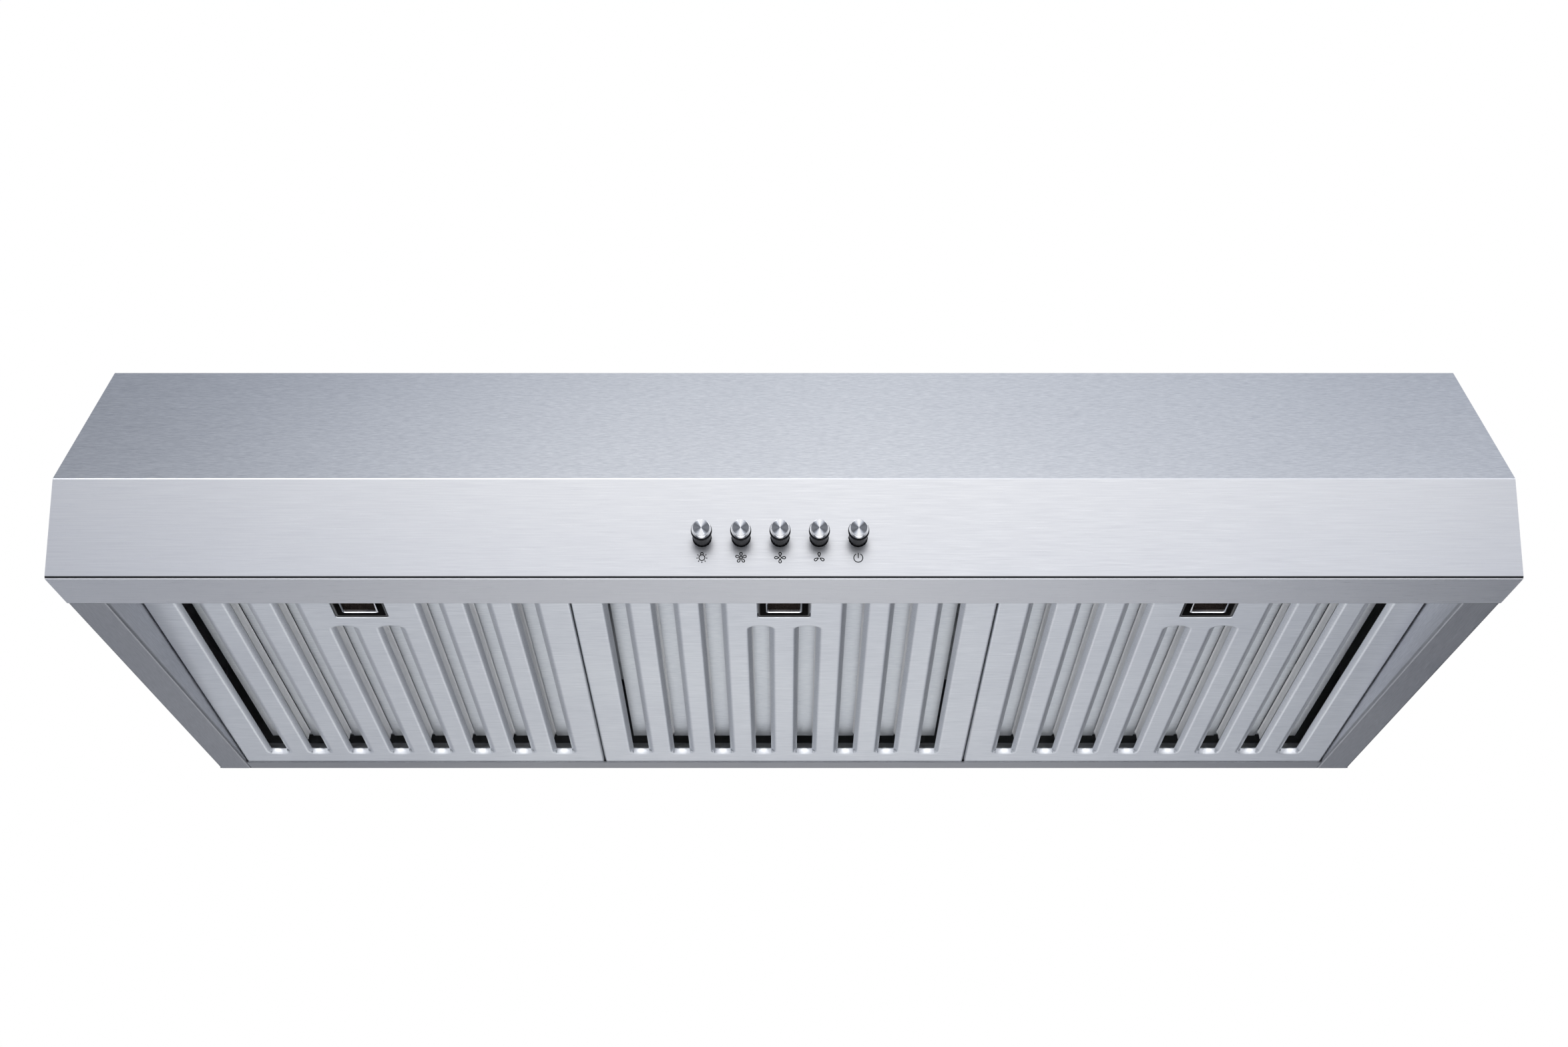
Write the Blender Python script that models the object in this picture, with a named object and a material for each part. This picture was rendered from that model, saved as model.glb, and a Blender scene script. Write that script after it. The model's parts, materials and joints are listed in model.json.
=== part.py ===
"""Under cabinet range hood with three baffle filters, push buttons and a twin blower.

Metres, +Z up, front towards -Y.  Everything is drawn in the hood's own drawing frame (Y = 0 at the
lower front edge, Z = 0 at the underside), and one empty moves that frame so that the origin lies in
the middle of the top face, where the hood meets the cabinet.
"""
import bmesh
import bpy
from math import atan2, cos, pi, radians, sin, tan
from mathutils import Matrix, Vector

# Driving dimensions
WIDTH = 0.755
DEPTH = 0.4565
HEIGHT = 0.1518
FACE_HEIGHT = 0.0537
SLOPE_RUN = 0.1068
LIP_DEPTH = 0.0466
RAIL_WIDTH = 0.0210
LEDGE_DEPTH = 0.0180
SHEET = 0.0010
GAP = 0.0003
BEND = 0.0016
TOP_FLANGE = 0.0200
RAIL_WALL = 0.0300

# Lamp panel, behind the lip
LAMP_PANEL_Z = 0.0260
LAMP_PANEL_BACK = 0.0895
LAMP_PANEL_UPSTAND = 0.0080
LAMP_X = 0.1950
LAMP_HOLE = 0.0170

# Push buttons
BUTTON_NAMES = ("light", "high", "medium", "low", "power")
BUTTON_PITCH = 0.0200
BUTTON_ROW_X = -0.0020
BUTTON_Z = 0.0217
BUTTON_HOLE = 0.0050
BUTTON_LENGTH = 0.0166

# Filters
FILTER_NAMES = ("left", "middle", "right")
FILTER_GAP = 0.0008
FILTER_LENGTH = 0.3430
FILTER_TILT = radians(3.6)
FILTER_HINGE = (0.4379, 0.0008)
TRAY_WALL = 0.0125
TRAY_SHEET = 0.0008
SLOT_COUNT = 8
SLOT_PITCH = 0.0267
SLOT_HALF = 0.0075
SLOT_INSET = 0.0025
SLOT_END_INSET = 0.0033
SLOT_DISH = 0.0022
SLOT_BACK = -0.0175
SLOT_FRONT = -0.3310
SHORT_SLOT_FRONT = -0.2785
BAFFLE_Z = 0.0090
BAFFLE_BACK = -0.0285
LATCH_HALF = 0.01525
LATCH_BACK = -0.2930

# Blower, turning about X
BLOWER_Y = 0.3070
BLOWER_Z = 0.0963
SCROLL_START = 0.0500
SCROLL_END = 0.0780
SCROLL_X = (0.0435, 0.1275)
WHEEL_RADIUS = 0.0440
WHEEL_X = (0.0500, 0.1185)
BLADES = 18
SHAFT_RADIUS = 0.0030
BORE_RADIUS = 0.0033
MOTOR_RADIUS = 0.0360
MOTOR_HALF = 0.0300

# Duct collar on the top
DUCT_Y = 0.3420
DUCT_HALF = (0.1270, 0.0415)
DUCT_HEIGHT = 0.0400
COLLAR_FOOT = 0.0090
SWAGE_WIDTH = 0.0030
SWAGE_DEPTH = 0.0004
SEAT_BACK = DUCT_Y - DUCT_HALF[1] - COLLAR_FOOT - SWAGE_WIDTH - 0.0010
DAMPER_LIFT = 0.0180
OUTLET_X = (0.0455, 0.1250)
OUTLET_Y = (0.3020, 0.3820)


# ---------------------------------------------------------------- scene, materials, objects

for old in list(bpy.data.objects):
    bpy.data.objects.remove(old, do_unlink=True)


def finish(name, colour, metallic, roughness):
    """A plain Principled material."""
    mat = bpy.data.materials.new(name)
    mat.use_nodes = True
    shader = mat.node_tree.nodes["Principled BSDF"]
    shader.inputs["Base Color"].default_value = (*colour, 1.0)
    shader.inputs["Metallic"].default_value = metallic
    shader.inputs["Roughness"].default_value = roughness
    mat.diffuse_color = (*colour, 1.0)
    return mat


STEEL = ("steel", (0.62, 0.64, 0.67), 1.0, 0.36)
GALVANISED = ("galvanised", (0.55, 0.57, 0.58), 1.0, 0.45)
CHROME = ("chrome", (0.80, 0.80, 0.82), 1.0, 0.10)
BLACK = ("black_plastic", (0.02, 0.02, 0.02), 0.0, 0.35)
GREY = ("grey_plastic", (0.35, 0.36, 0.37), 0.0, 0.50)
COPPER = ("winding", (0.45, 0.20, 0.09), 0.6, 0.45)
IRON = ("motor_iron", (0.30, 0.31, 0.33), 0.9, 0.50)
LENS = ("lamp_lens", (0.90, 0.91, 0.88), 0.0, 0.25)

HOOD = bpy.data.objects.new("hood_frame", None)
HOOD.location = (0.0, -DEPTH / 2, -HEIGHT)
bpy.context.collection.objects.link(HOOD)


def empty(name, location, rotation=(0.0, 0.0, 0.0), parent=HOOD):
    """A joint's frame: pieces under it have their origin on the joint's axis."""
    obj = bpy.data.objects.new(name, None)
    obj.location = location
    obj.rotation_euler = rotation
    obj.parent = parent
    bpy.context.collection.objects.link(obj)
    return obj


def add(name, bm, look, parent=HOOD, location=(0.0, 0.0, 0.0), smooth=True):
    """Turn a bmesh into a named object with its own material."""
    mesh = bpy.data.meshes.new(name)
    bmesh.ops.recalc_face_normals(bm, faces=bm.faces)
    bm.to_mesh(mesh)
    bm.free()
    mesh.materials.append(finish(name + "_" + look[0], *look[1:]))
    if smooth:
        mesh.shade_smooth()
        mesh.set_sharp_from_angle(angle=radians(30))
    obj = bpy.data.objects.new(name, mesh)
    obj.location = location
    obj.parent = parent
    bpy.context.collection.objects.link(obj)
    return obj


def tool(name, bm, parent=HOOD, location=(0.0, 0.0, 0.0)):
    """A shape used only to cut or join."""
    obj = add(name, bm, GREY, parent, location, smooth=False)
    obj.hide_render = True
    obj.display_type = "WIRE"
    return obj


def boolean(target, operand, operation="DIFFERENCE"):
    modifier = target.modifiers.new(operation.lower(), "BOOLEAN")
    modifier.operation = operation
    modifier.solver = "EXACT"
    modifier.object = operand


# ---------------------------------------------------------------- shape builders

def put_box(bm, low, high):
    """Add an upright box between two corners."""
    size = [b - a for a, b in zip(low, high)]
    middle = [(a + b) / 2 for a, b in zip(low, high)]
    place = Matrix.Translation(middle) @ Matrix.Diagonal((*size, 1.0))
    bmesh.ops.create_cube(bm, size=1.0, matrix=place)


def box(low, high, bevel=0.0):
    bm = bmesh.new()
    put_box(bm, low, high)
    if bevel:
        bmesh.ops.bevel(bm, geom=bm.edges[:], offset=bevel, segments=2, affect="EDGES")
    return bm


def boxes(corners):
    bm = bmesh.new()
    for low, high in corners:
        put_box(bm, low, high)
    return bm


def bent_outline(path, side, radius=BEND, steps=3):
    """Both skins of a folded sheet whose outer skin follows path; side +1 puts the metal left of it."""
    points = [Vector(p) for p in path]
    skin, back = [], []

    def left(direction):
        return Vector((-direction.y, direction.x)) * side

    first = left((points[1] - points[0]).normalized())
    skin.append(points[0])
    back.append(points[0] + first * SHEET)
    for before, corner, after in zip(points, points[1:], points[2:]):
        d_in = (corner - before).normalized()
        d_out = (after - corner).normalized()
        turn = atan2(d_in.x * d_out.y - d_in.y * d_out.x, d_in.dot(d_out))
        towards = 1.0 if turn * side > 0 else -1.0
        skin_radius = radius if towards > 0 else radius - SHEET
        start = corner - d_in * skin_radius * tan(abs(turn) / 2)
        centre = start + left(d_in) * towards * skin_radius
        for step in range(steps + 1):
            spoke = (start - centre)
            spoke.rotate(Matrix.Rotation(turn * step / steps, 2))
            skin.append(centre + spoke)
            back.append(centre + spoke * (skin_radius - towards * SHEET) / skin_radius)
    last = left((points[-1] - points[-2]).normalized())
    skin.append(points[-1])
    back.append(points[-1] + last * SHEET)
    return skin, back


def folded_sheet(path, side, low, high, axis="X", radius=BEND, steps=3):
    """A folded sheet: its outline is in the plane across the axis and runs from low to high along it."""
    skin, back = bent_outline(path, side, radius, steps)
    bm = bmesh.new()

    def place(point, along):
        return (along, point.x, point.y) if axis == "X" else (point.x, along, point.y)

    rows = [[bm.verts.new(place(p, along)) for p in line] for along in (low, high) for line in (skin, back)]
    skin_low, back_low, skin_high, back_high = rows
    for i in range(len(skin) - 1):
        for a, b in ((skin_low, skin_high), (skin_high, back_high), (back_high, back_low), (back_low, skin_low)):
            bm.faces.new((a[i], a[i + 1], b[i + 1], b[i]))
    for i in (0, -1):
        bm.faces.new((skin_low[i], skin_high[i], back_high[i], back_low[i]))
    return bm


def outline_faces(bm, loops):
    """Fill a flat region: the first loop is its outside, the others are holes."""
    edges = []
    for loop in loops:
        for a, b in zip(loop, loop[1:] + loop[:1]):
            edges.append(bm.edges.get((a, b)) or bm.edges.new((a, b)))
    bmesh.ops.triangle_fill(bm, use_beauty=True, edges=edges)


def ring(bm, points, height):
    return [bm.verts.new((x, y, height)) for x, y in points]


def bridge(bm, lower, upper):
    for i in range(len(lower)):
        j = (i + 1) % len(lower)
        bm.faces.new((lower[i], lower[j], upper[j], upper[i]))


def rectangle(x0, x1, y0, y1):
    return [(x0, y0), (x1, y0), (x1, y1), (x0, y1)]


def circle(x, y, radius, steps=20):
    return [(x + radius * cos(2 * pi * i / steps), y + radius * sin(2 * pi * i / steps)) for i in range(steps)]


def plate(outline, holes, low, high):
    """A flat plate with holes, between two heights."""
    bm = bmesh.new()
    bottom = [ring(bm, loop, low) for loop in [outline, *holes]]
    top = [ring(bm, loop, high) for loop in [outline, *holes]]
    for lower, upper in zip(bottom, top):
        bridge(bm, lower, upper)
    outline_faces(bm, bottom)
    outline_faces(bm, top)
    return bm


def loop_tube(loops):
    """A closed ring of metal whose section passes through each loop of 3-D points in turn."""
    bm = bmesh.new()
    rings = [[bm.verts.new(p) for p in loop] for loop in loops]
    for lower, upper in zip(rings, rings[1:] + rings[:1]):
        bridge(bm, lower, upper)
    return bm


def turned(profile, steps=24, axis="X"):
    """A closed profile of (radius, place) turned about an axis through the origin.

    A profile that starts and ends at radius 0 makes a solid, and any other makes a ring.
    """
    bm = bmesh.new()

    def spot(radius, along, angle):
        u, v = radius * cos(angle), radius * sin(angle)
        return {"X": (along, u, v), "Y": (v, along, u), "Z": (u, v, along)}[axis]

    rings = []
    for radius, along in profile:
        if radius == 0.0:
            rings.append([bm.verts.new(spot(0.0, along, 0.0))])
        else:
            rings.append([bm.verts.new(spot(radius, along, 2 * pi * i / steps)) for i in range(steps)])
    closed = len(rings[0]) > 1
    for a, b in zip(rings, rings[1:] + (rings[:1] if closed else [])):
        for i in range(steps):
            j = (i + 1) % steps
            corners = [a[i % len(a)], a[j % len(a)], b[j % len(b)], b[i % len(b)]]
            bm.faces.new(list(dict.fromkeys(corners)))
    return bm


# ---------------------------------------------------------------- shell

HALF = WIDTH / 2
RAIL_INNER = HALF - RAIL_WIDTH


def front_panel():
    """One folded sheet: top flange, sloping face, upright face with button holes, underside lip."""
    path = [(SLOPE_RUN + TOP_FLANGE, HEIGHT), (SLOPE_RUN, HEIGHT), (0.0, FACE_HEIGHT), (0.0, 0.0), (LIP_DEPTH, 0.0)]
    panel = add("front_panel", folded_sheet(path, 1, -HALF, HALF, steps=4), STEEL)
    holes = bmesh.new()
    for x in button_places():
        place = Matrix.Translation((x, 0.0, BUTTON_Z)) @ Matrix.Rotation(pi / 2, 4, "X")
        bmesh.ops.create_cone(holes, cap_ends=True, segments=16, radius1=BUTTON_HOLE, radius2=BUTTON_HOLE,
                              depth=0.01, matrix=place)
    boolean(panel, tool("button_hole_cutter", holes))


def button_places():
    middle = (len(BUTTON_NAMES) - 1) / 2
    return [BUTTON_ROW_X + (i - middle) * BUTTON_PITCH for i in range(len(BUTTON_NAMES))]


def side_panel(name, sign):
    """A side sheet folded under into a rail and up again, with its front cut to the hood's outline."""
    inset = SHEET + GAP
    back = DEPTH - inset
    path = [(sign * HALF, HEIGHT), (sign * HALF, 0.0), (sign * RAIL_INNER, 0.0), (sign * RAIL_INNER, RAIL_WALL)]
    panel = add(name, folded_sheet(path, -sign, inset, back, axis="Y"), STEEL)
    slope = Vector((SLOPE_RUN, HEIGHT - FACE_HEIGHT)).normalized()
    crease_rise = inset * (1 - slope.x) / slope.y
    low_y = inset
    low_z = FACE_HEIGHT - crease_rise
    reach = (HEIGHT - inset - low_z) / slope.y
    high_y = low_y + slope.x * reach
    outside = 0.02
    corner = bmesh.new()
    outline = [(low_y - outside, low_z - outside * slope.y / slope.x), (high_y, HEIGHT - inset),
               (SLOPE_RUN + TOP_FLANGE + GAP, HEIGHT - inset), (SLOPE_RUN + TOP_FLANGE + GAP, HEIGHT + outside),
               (low_y - outside, HEIGHT + outside)]
    rings = [[corner.verts.new((sign * x, y, z)) for y, z in outline] for x in (HALF - 0.03, HALF + 0.01)]
    bridge(corner, *rings)
    for loop in rings:
        corner.faces.new(loop)
    boolean(panel, tool(name + "_slope_cutter", corner))
    lip_end = LIP_DEPTH + GAP
    bite = 0.00005
    inner_low, inner_high = sorted((sign * (RAIL_INNER - 0.01), sign * (HALF - SHEET + bite)))
    under = boxes([((inner_low, -0.01, -0.01), (inner_high, lip_end, RAIL_WALL + 0.005))])
    boolean(panel, tool(name + "_rail_cutter", under))
    low, high = sorted((sign * (RAIL_INNER - 0.01), sign * (HALF + 0.01)))
    boolean(panel, tool(name + "_lip_cutter", boxes([((low, -0.01, -0.01), (high, lip_end, inset))])))


def back_panel():
    """The back sheet, folded forward at the bottom into the ledge that the filters hang on."""
    path = [(DEPTH, HEIGHT), (DEPTH, 0.0), (DEPTH - LEDGE_DEPTH, 0.0)]
    panel = add("back_panel", folded_sheet(path, -1, -HALF, HALF), STEEL)
    ends = []
    for sign in (-1, 1):
        low, high = sorted((sign * (RAIL_INNER - GAP), sign * (HALF + 0.01)))
        ends.append(((low, DEPTH - 0.04, -0.01), (high, DEPTH - SHEET + 0.00005, 0.01)))
    boolean(panel, tool("ledge_end_cutter", boxes(ends)))


def top_panel():
    """The top sheet: two outlets, a wiring knockout and four slots for the cabinet screws.

    A swage line stiffens it in front of the duct collar; the flat in front of that line is the
    seat that lies against the cabinet.
    """
    front = SLOPE_RUN + TOP_FLANGE + GAP
    side = HALF - SHEET - GAP
    outline = rectangle(-side, side, front, DEPTH - SHEET - GAP)
    holes = [rectangle(s * OUTLET_X[0], s * OUTLET_X[1], *OUTLET_Y) for s in (-1, 1)]
    holes.append(circle(*JUNCTION_MIDDLE, 0.0110))
    for x in (-0.345, 0.345):
        for y in (0.165, 0.400):
            holes.append(rectangle(x - 0.003, x + 0.003, y - 0.009, y + 0.009))
    panel = add("top_panel", plate(outline, holes, HEIGHT - SHEET, HEIGHT), STEEL, smooth=False)
    groove = box((-HALF, SEAT_BACK, HEIGHT - SWAGE_DEPTH), (HALF, SEAT_BACK + SWAGE_WIDTH, HEIGHT + SHEET))
    boolean(panel, tool("swage_cutter", groove))


def lamp_panel():
    """The strip between the lip and the filters, with two lamp holes and a notch for each latch."""
    front = LIP_DEPTH + GAP
    path = [(front, GAP), (front, LAMP_PANEL_Z), (LAMP_PANEL_BACK, LAMP_PANEL_Z),
            (LAMP_PANEL_BACK, LAMP_PANEL_Z + LAMP_PANEL_UPSTAND)]
    side = RAIL_INNER - GAP
    panel = add("lamp_panel", folded_sheet(path, -1, -side, side), STEEL)
    holes = bmesh.new()
    for sign in (-1, 1):
        place = Matrix.Translation((sign * LAMP_X, LAMP_Y, LAMP_PANEL_Z))
        bmesh.ops.create_cone(holes, cap_ends=True, segments=24, radius1=LAMP_HOLE, radius2=LAMP_HOLE,
                              depth=0.01, matrix=place)
    for x in filter_places():
        put_box(holes, (x - 0.008, 0.0840, 0.0200), (x + 0.008, 0.0950, 0.0400))
    boolean(panel, tool("lamp_panel_cutter", holes))


LAMP_Y = (LIP_DEPTH + LAMP_PANEL_BACK) / 2
JUNCTION_MIDDLE = (-0.2700, 0.4100)


# ---------------------------------------------------------------- buttons and lamps

def button(name, x):
    """A flared body on a stem, with a turned metal cap; its origin is on its axis at the face."""
    place = empty(name + "_axis", (x, 0.0, BUTTON_Z))
    body = [(0.0, 0.0240), (0.0030, 0.0240), (0.0030, 0.0045), (0.00465, 0.0045), (0.00465, -0.0110),
            (0.0055, -0.0150), (0.0055, -BUTTON_LENGTH + 0.0002), (0.0053, -BUTTON_LENGTH),
            (0.0049, -BUTTON_LENGTH), (0.0049, -BUTTON_LENGTH + 0.0016), (0.0, -BUTTON_LENGTH + 0.0016)]
    cap = [(0.0, -BUTTON_LENGTH + 0.0013), (0.0046, -BUTTON_LENGTH + 0.0013), (0.0046, -BUTTON_LENGTH - 0.0006),
           (0.0042, -BUTTON_LENGTH - 0.0011), (0.0, -BUTTON_LENGTH - 0.0014)]
    add("button_" + name, turned(body, 14, "Y"), BLACK, place)
    add("cap_" + name, turned(cap, 14, "Y"), CHROME, place)


def switch_body():
    """The block of interlocked switches behind the buttons, bored for their stems."""
    ends = (button_places()[0] - 0.013, button_places()[-1] + 0.013)
    block = add("switch_body", box((ends[0], 0.0105, 0.0100), (ends[1], 0.0360, 0.0335)), GREY, smooth=False)
    bores = bmesh.new()
    for x in button_places():
        place = Matrix.Translation((x, 0.0230, BUTTON_Z)) @ Matrix.Rotation(pi / 2, 4, "X")
        bmesh.ops.create_cone(bores, cap_ends=True, segments=10, radius1=0.0034, radius2=0.0034, depth=0.04,
                              matrix=place)
    boolean(block, tool("switch_bore_cutter", bores))


def switch_bracket():
    """A bent tab that screws the switch block to the upright face."""
    ends = (button_places()[0] - 0.030, button_places()[-1] + 0.030)
    path = [(SHEET + GAP, 0.0480), (SHEET + GAP, 0.0340), (0.0365, 0.0340)]
    add("switch_bracket", folded_sheet(path, 1, *ends), GALVANISED)


def lamp(name, sign):
    """A round lamp: a cup with a bezel below the panel, and its lens."""
    low = LAMP_PANEL_Z - SHEET - GAP
    place = (sign * LAMP_X, LAMP_Y, 0.0)
    profile = [(0.0, low + 0.0150), (0.0166, low + 0.0150), (0.0166, low), (0.0190, low), (0.0190, low - 0.0008),
               (0.0152, low - 0.0020), (0.0152, low + 0.0138), (0.0, low + 0.0138)]
    add("lamp_housing_" + name, turned(profile, 20, "Z"), CHROME, location=place)
    lens = [(0.0, low + 0.0010), (0.0149, low + 0.0010), (0.0149, low - 0.0010), (0.0, low - 0.0014)]
    add("lamp_lens_" + name, turned(lens, 20, "Z"), LENS, location=place)


# ---------------------------------------------------------------- filters

FILTER_WIDTH = (2 * RAIL_INNER - 4 * FILTER_GAP) / 3


def filter_places():
    return [(i - 1) * (FILTER_WIDTH + FILTER_GAP) for i in range(3)]


def slot_outline(x, front, back, half, bulge, steps=4):
    """A long slot with gently rounded ends."""
    points = []
    for end, sign in ((back, 1), (front, -1)):
        for i in range(steps + 1):
            angle = pi * i / steps
            points.append((x + sign * half * cos(angle), end - sign * bulge * (1 - sin(angle))))
    return points


def dished_slot(x, front, back, half, steps=4):
    """The four outlines of a slot whose edges are folded in: face, rim inside, rim outside, back."""
    inner = (x, front + SLOT_END_INSET, back - SLOT_END_INSET, half - SLOT_INSET)
    outer_rim = (x, front + SLOT_END_INSET - 0.0007, back - SLOT_END_INSET + 0.0007, half - SLOT_INSET + 0.0007)
    round_out, round_in = half * 0.85, (half - SLOT_INSET) * 0.8
    return [(slot_outline(x, front, back, half, round_out, steps), 0.0),
            (slot_outline(*inner, round_in, steps), SLOT_DISH),
            (slot_outline(*outer_rim, round_in, steps), SLOT_DISH + 0.0005),
            (slot_outline(x, front - 0.0003, back + 0.0003, half + 0.0003, round_out, steps), TRAY_SHEET)]


def slotted_sheet(edge_loops, slots, holes, flip=1.0, lift=0.0):
    """A thin sheet with dished slots.  edge_loops run from the face's rim round to the back's rim."""
    bm = bmesh.new()

    def level(height):
        return lift + flip * height

    edges = [ring(bm, outline, level(height)) for outline, height in edge_loops]
    for lower, upper in zip(edges, edges[1:]):
        bridge(bm, lower, upper)
    face, back = [edges[0]], [edges[-1]]
    for slot in slots:
        rings = [ring(bm, outline, level(height)) for outline, height in slot]
        for lower, upper in zip(rings, rings[1:]):
            bridge(bm, lower, upper)
        face.append(rings[0])
        back.append(rings[-1])
    for hole in holes:
        lower, upper = ring(bm, hole, level(0.0)), ring(bm, hole, level(TRAY_SHEET))
        bridge(bm, lower, upper)
        face.append(lower)
        back.append(upper)
    outline_faces(bm, face)
    outline_faces(bm, back)
    return bm


def filter_set(name, x):
    """One filter: slotted tray, back baffle, latch case and the sprung slider inside it."""
    hinge = empty("filter_" + name + "_hinge", (x, *FILTER_HINGE), (-FILTER_TILT, 0.0, 0.0))
    half = FILTER_WIDTH / 2
    middle = (SLOT_COUNT - 1) / 2
    slots = []
    for i in range(SLOT_COUNT):
        place = (i - middle) * SLOT_PITCH
        front = SHORT_SLOT_FRONT if abs(place) < SLOT_PITCH else SLOT_FRONT
        slots.append(dished_slot(place, front, SLOT_BACK, SLOT_HALF))
    fold = 0.0008
    rim = [(rectangle(-half + fold, half - fold, -FILTER_LENGTH + fold, -fold), 0.0),
           (rectangle(-half, half, -FILTER_LENGTH, 0.0), fold),
           (rectangle(-half, half, -FILTER_LENGTH, 0.0), TRAY_WALL),
           (rectangle(-half + fold, half - fold, -FILTER_LENGTH + fold, -fold), TRAY_WALL),
           (rectangle(-half + fold, half - fold, -FILTER_LENGTH + fold, -fold), TRAY_SHEET)]
    latch = rectangle(-LATCH_HALF, LATCH_HALF, SLOT_FRONT, LATCH_BACK)
    tray = add("filter_tray_" + name, slotted_sheet(rim, slots, [latch]), STEEL, hinge)
    tongue = boxes([((-0.0060, -FILTER_LENGTH - 0.005, 0.0040), (0.0060, -FILTER_LENGTH + 0.005, 0.0090))])
    boolean(tray, tool("tongue_hole_" + name, tongue, hinge))

    edge = half - fold - GAP
    front = -FILTER_LENGTH + fold + GAP
    notch = LATCH_HALF + 0.0012
    outline = [(-edge, front), (-notch, front), (-notch, LATCH_BACK + 0.0015), (notch, LATCH_BACK + 0.0015),
               (notch, front), (edge, front), (edge, BAFFLE_BACK), (-edge, BAFFLE_BACK)]
    gaps = []
    for i in range(SLOT_COUNT - 1):
        place = (i + 1 - SLOT_COUNT / 2) * SLOT_PITCH
        start = SHORT_SLOT_FRONT if abs(place) < SLOT_PITCH / 2 else SLOT_FRONT
        gaps.append(dished_slot(place, start, BAFFLE_BACK - 0.0120, SLOT_HALF - 0.0005, 2))
    sheet = slotted_sheet([(outline, 0.0), (outline, TRAY_SHEET)], gaps, [], -1.0, BAFFLE_Z + TRAY_SHEET)
    add("filter_baffle_" + name, sheet, STEEL, hinge)

    wall = 0.0010
    outer = (LATCH_HALF - GAP, SLOT_FRONT + GAP, LATCH_BACK - GAP)
    inner = (outer[0] - wall, outer[1] + wall, outer[2] - wall)
    case = add("latch_case_" + name, box((-outer[0], outer[1], 0.0), (outer[0], outer[2], 0.0110)), BLACK, hinge,
               smooth=False)
    hollow = boxes([((-inner[0], inner[1], -0.005), (inner[0], inner[2], 0.0100))])
    boolean(case, tool("latch_hollow_" + name, hollow, hinge))
    mouth = boxes([((-0.0060, outer[1] - 0.005, 0.0040), (0.0060, inner[1] + 0.005, 0.0090))])
    boolean(case, tool("latch_mouth_" + name, mouth, hinge))

    grip = (0.0115, -0.3240, -0.3005)
    slider = [(-0.0050, -FILTER_LENGTH - 0.0055), (0.0050, -FILTER_LENGTH - 0.0055), (0.0050, grip[1]),
              (grip[0], grip[1]), (grip[0], grip[2]), (-grip[0], grip[2]), (-grip[0], grip[1]), (-0.0050, grip[1])]
    finger = rectangle(-grip[0] + 0.003, grip[0] - 0.003, grip[1] + 0.006, grip[2] - 0.003)
    add("latch_slider_" + name, plate(slider, [finger], 0.0050, 0.0070), CHROME, hinge, smooth=False)


# ---------------------------------------------------------------- blower

def scroll_outline(shrink, top):
    """The casing's spiral seen along X, from the tongue round to the outlet."""
    points = []
    steps = 18
    for i in range(steps + 1):
        angle = radians(100 + 260 * i / steps)
        radius = SCROLL_START + (SCROLL_END - SCROLL_START) * i / steps - shrink
        points.append((radius * cos(angle), radius * sin(angle)))
    points.append((points[-1][0], top))
    points.append((points[0][0], top))
    return points


def scroll_solid(x_range, shrink, top):
    bm = bmesh.new()
    outline = scroll_outline(shrink, top)
    rings = [[bm.verts.new((x, y, z)) for y, z in outline] for x in x_range]
    bridge(bm, *rings)
    for loop in rings:
        outline_faces(bm, [loop])
    return bm


def scroll(name, sign, axle):
    """A scroll casing with an inlet on its outer side and a shaft hole on the motor side."""
    low, high = sorted(sign * x for x in SCROLL_X)
    top = HEIGHT - SHEET - GAP - BLOWER_Z
    casing = add("scroll_" + name, scroll_solid((low, high), 0.0, top), GALVANISED, axle)
    inside = scroll_solid((low + SHEET, high - SHEET), SHEET, top + 0.01)
    boolean(casing, tool("scroll_inside_" + name, inside, axle))
    holes = turned([(0.0, sign * 0.02), (0.0120, sign * 0.02), (0.0120, sign * 0.08), (0.0370, sign * 0.08),
                    (0.0370, sign * 0.14), (0.0, sign * 0.14)], 24)
    boolean(casing, tool("scroll_holes_" + name, holes, axle))
    face = SCROLL_X[1]
    inlet = [(0.0345, face - 0.0040), (0.0355, face - 0.0040), (0.0361, face + GAP), (0.0430, face + GAP),
             (0.0430, face + 0.0013), (0.0385, face + 0.0022), (0.0358, face + 0.0013), (0.0348, face - 0.0010)]
    add("inlet_ring_" + name, turned([(r, sign * x) for r, x in inlet], 24), BLACK, axle)


def impeller(name, sign, axle):
    """A squirrel cage: back plate with hub, forward-curved blades and an end ring."""
    near, far = WHEEL_X
    hub = [(BORE_RADIUS, near), (WHEEL_RADIUS, near), (WHEEL_RADIUS, near + 0.0015), (0.0080, near + 0.0015),
           (0.0080, near + 0.0160), (BORE_RADIUS, near + 0.0160)]
    wheel = add("impeller_" + name, turned([(r, sign * x) for r, x in hub], 24), GREY, axle)
    inner, outer, thick = WHEEL_RADIUS - 0.0080, WHEEL_RADIUS - 0.0006, 0.0006
    blades = bmesh.new()
    for i in range(BLADES):
        spread = 2 * pi * i / BLADES
        line = []
        for reach, sweep in ((inner, 0.0), (outer, 0.11)):
            line.append((reach, spread + sweep))
        left = [(r * cos(a) - thick * sin(a), r * sin(a) + thick * cos(a)) for r, a in line]
        right = [(r * cos(a) + thick * sin(a), r * sin(a) - thick * cos(a)) for r, a in line]
        outline = left + right[::-1]
        rings = [[blades.verts.new((sign * x, y, z)) for y, z in outline] for x in (near + 0.0008, far - 0.0008)]
        bridge(blades, *rings)
        for loop in rings:
            blades.faces.new(loop)
    boolean(wheel, tool("blades_" + name, blades, axle), "UNION")
    end = [(inner - 0.0006, far - 0.0020), (WHEEL_RADIUS, far - 0.0020), (WHEEL_RADIUS, far), (inner - 0.0006, far)]
    end_ring = turned([(r, sign * x) for r, x in end], 24)
    boolean(wheel, tool("end_ring_" + name, end_ring, axle), "UNION")


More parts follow.
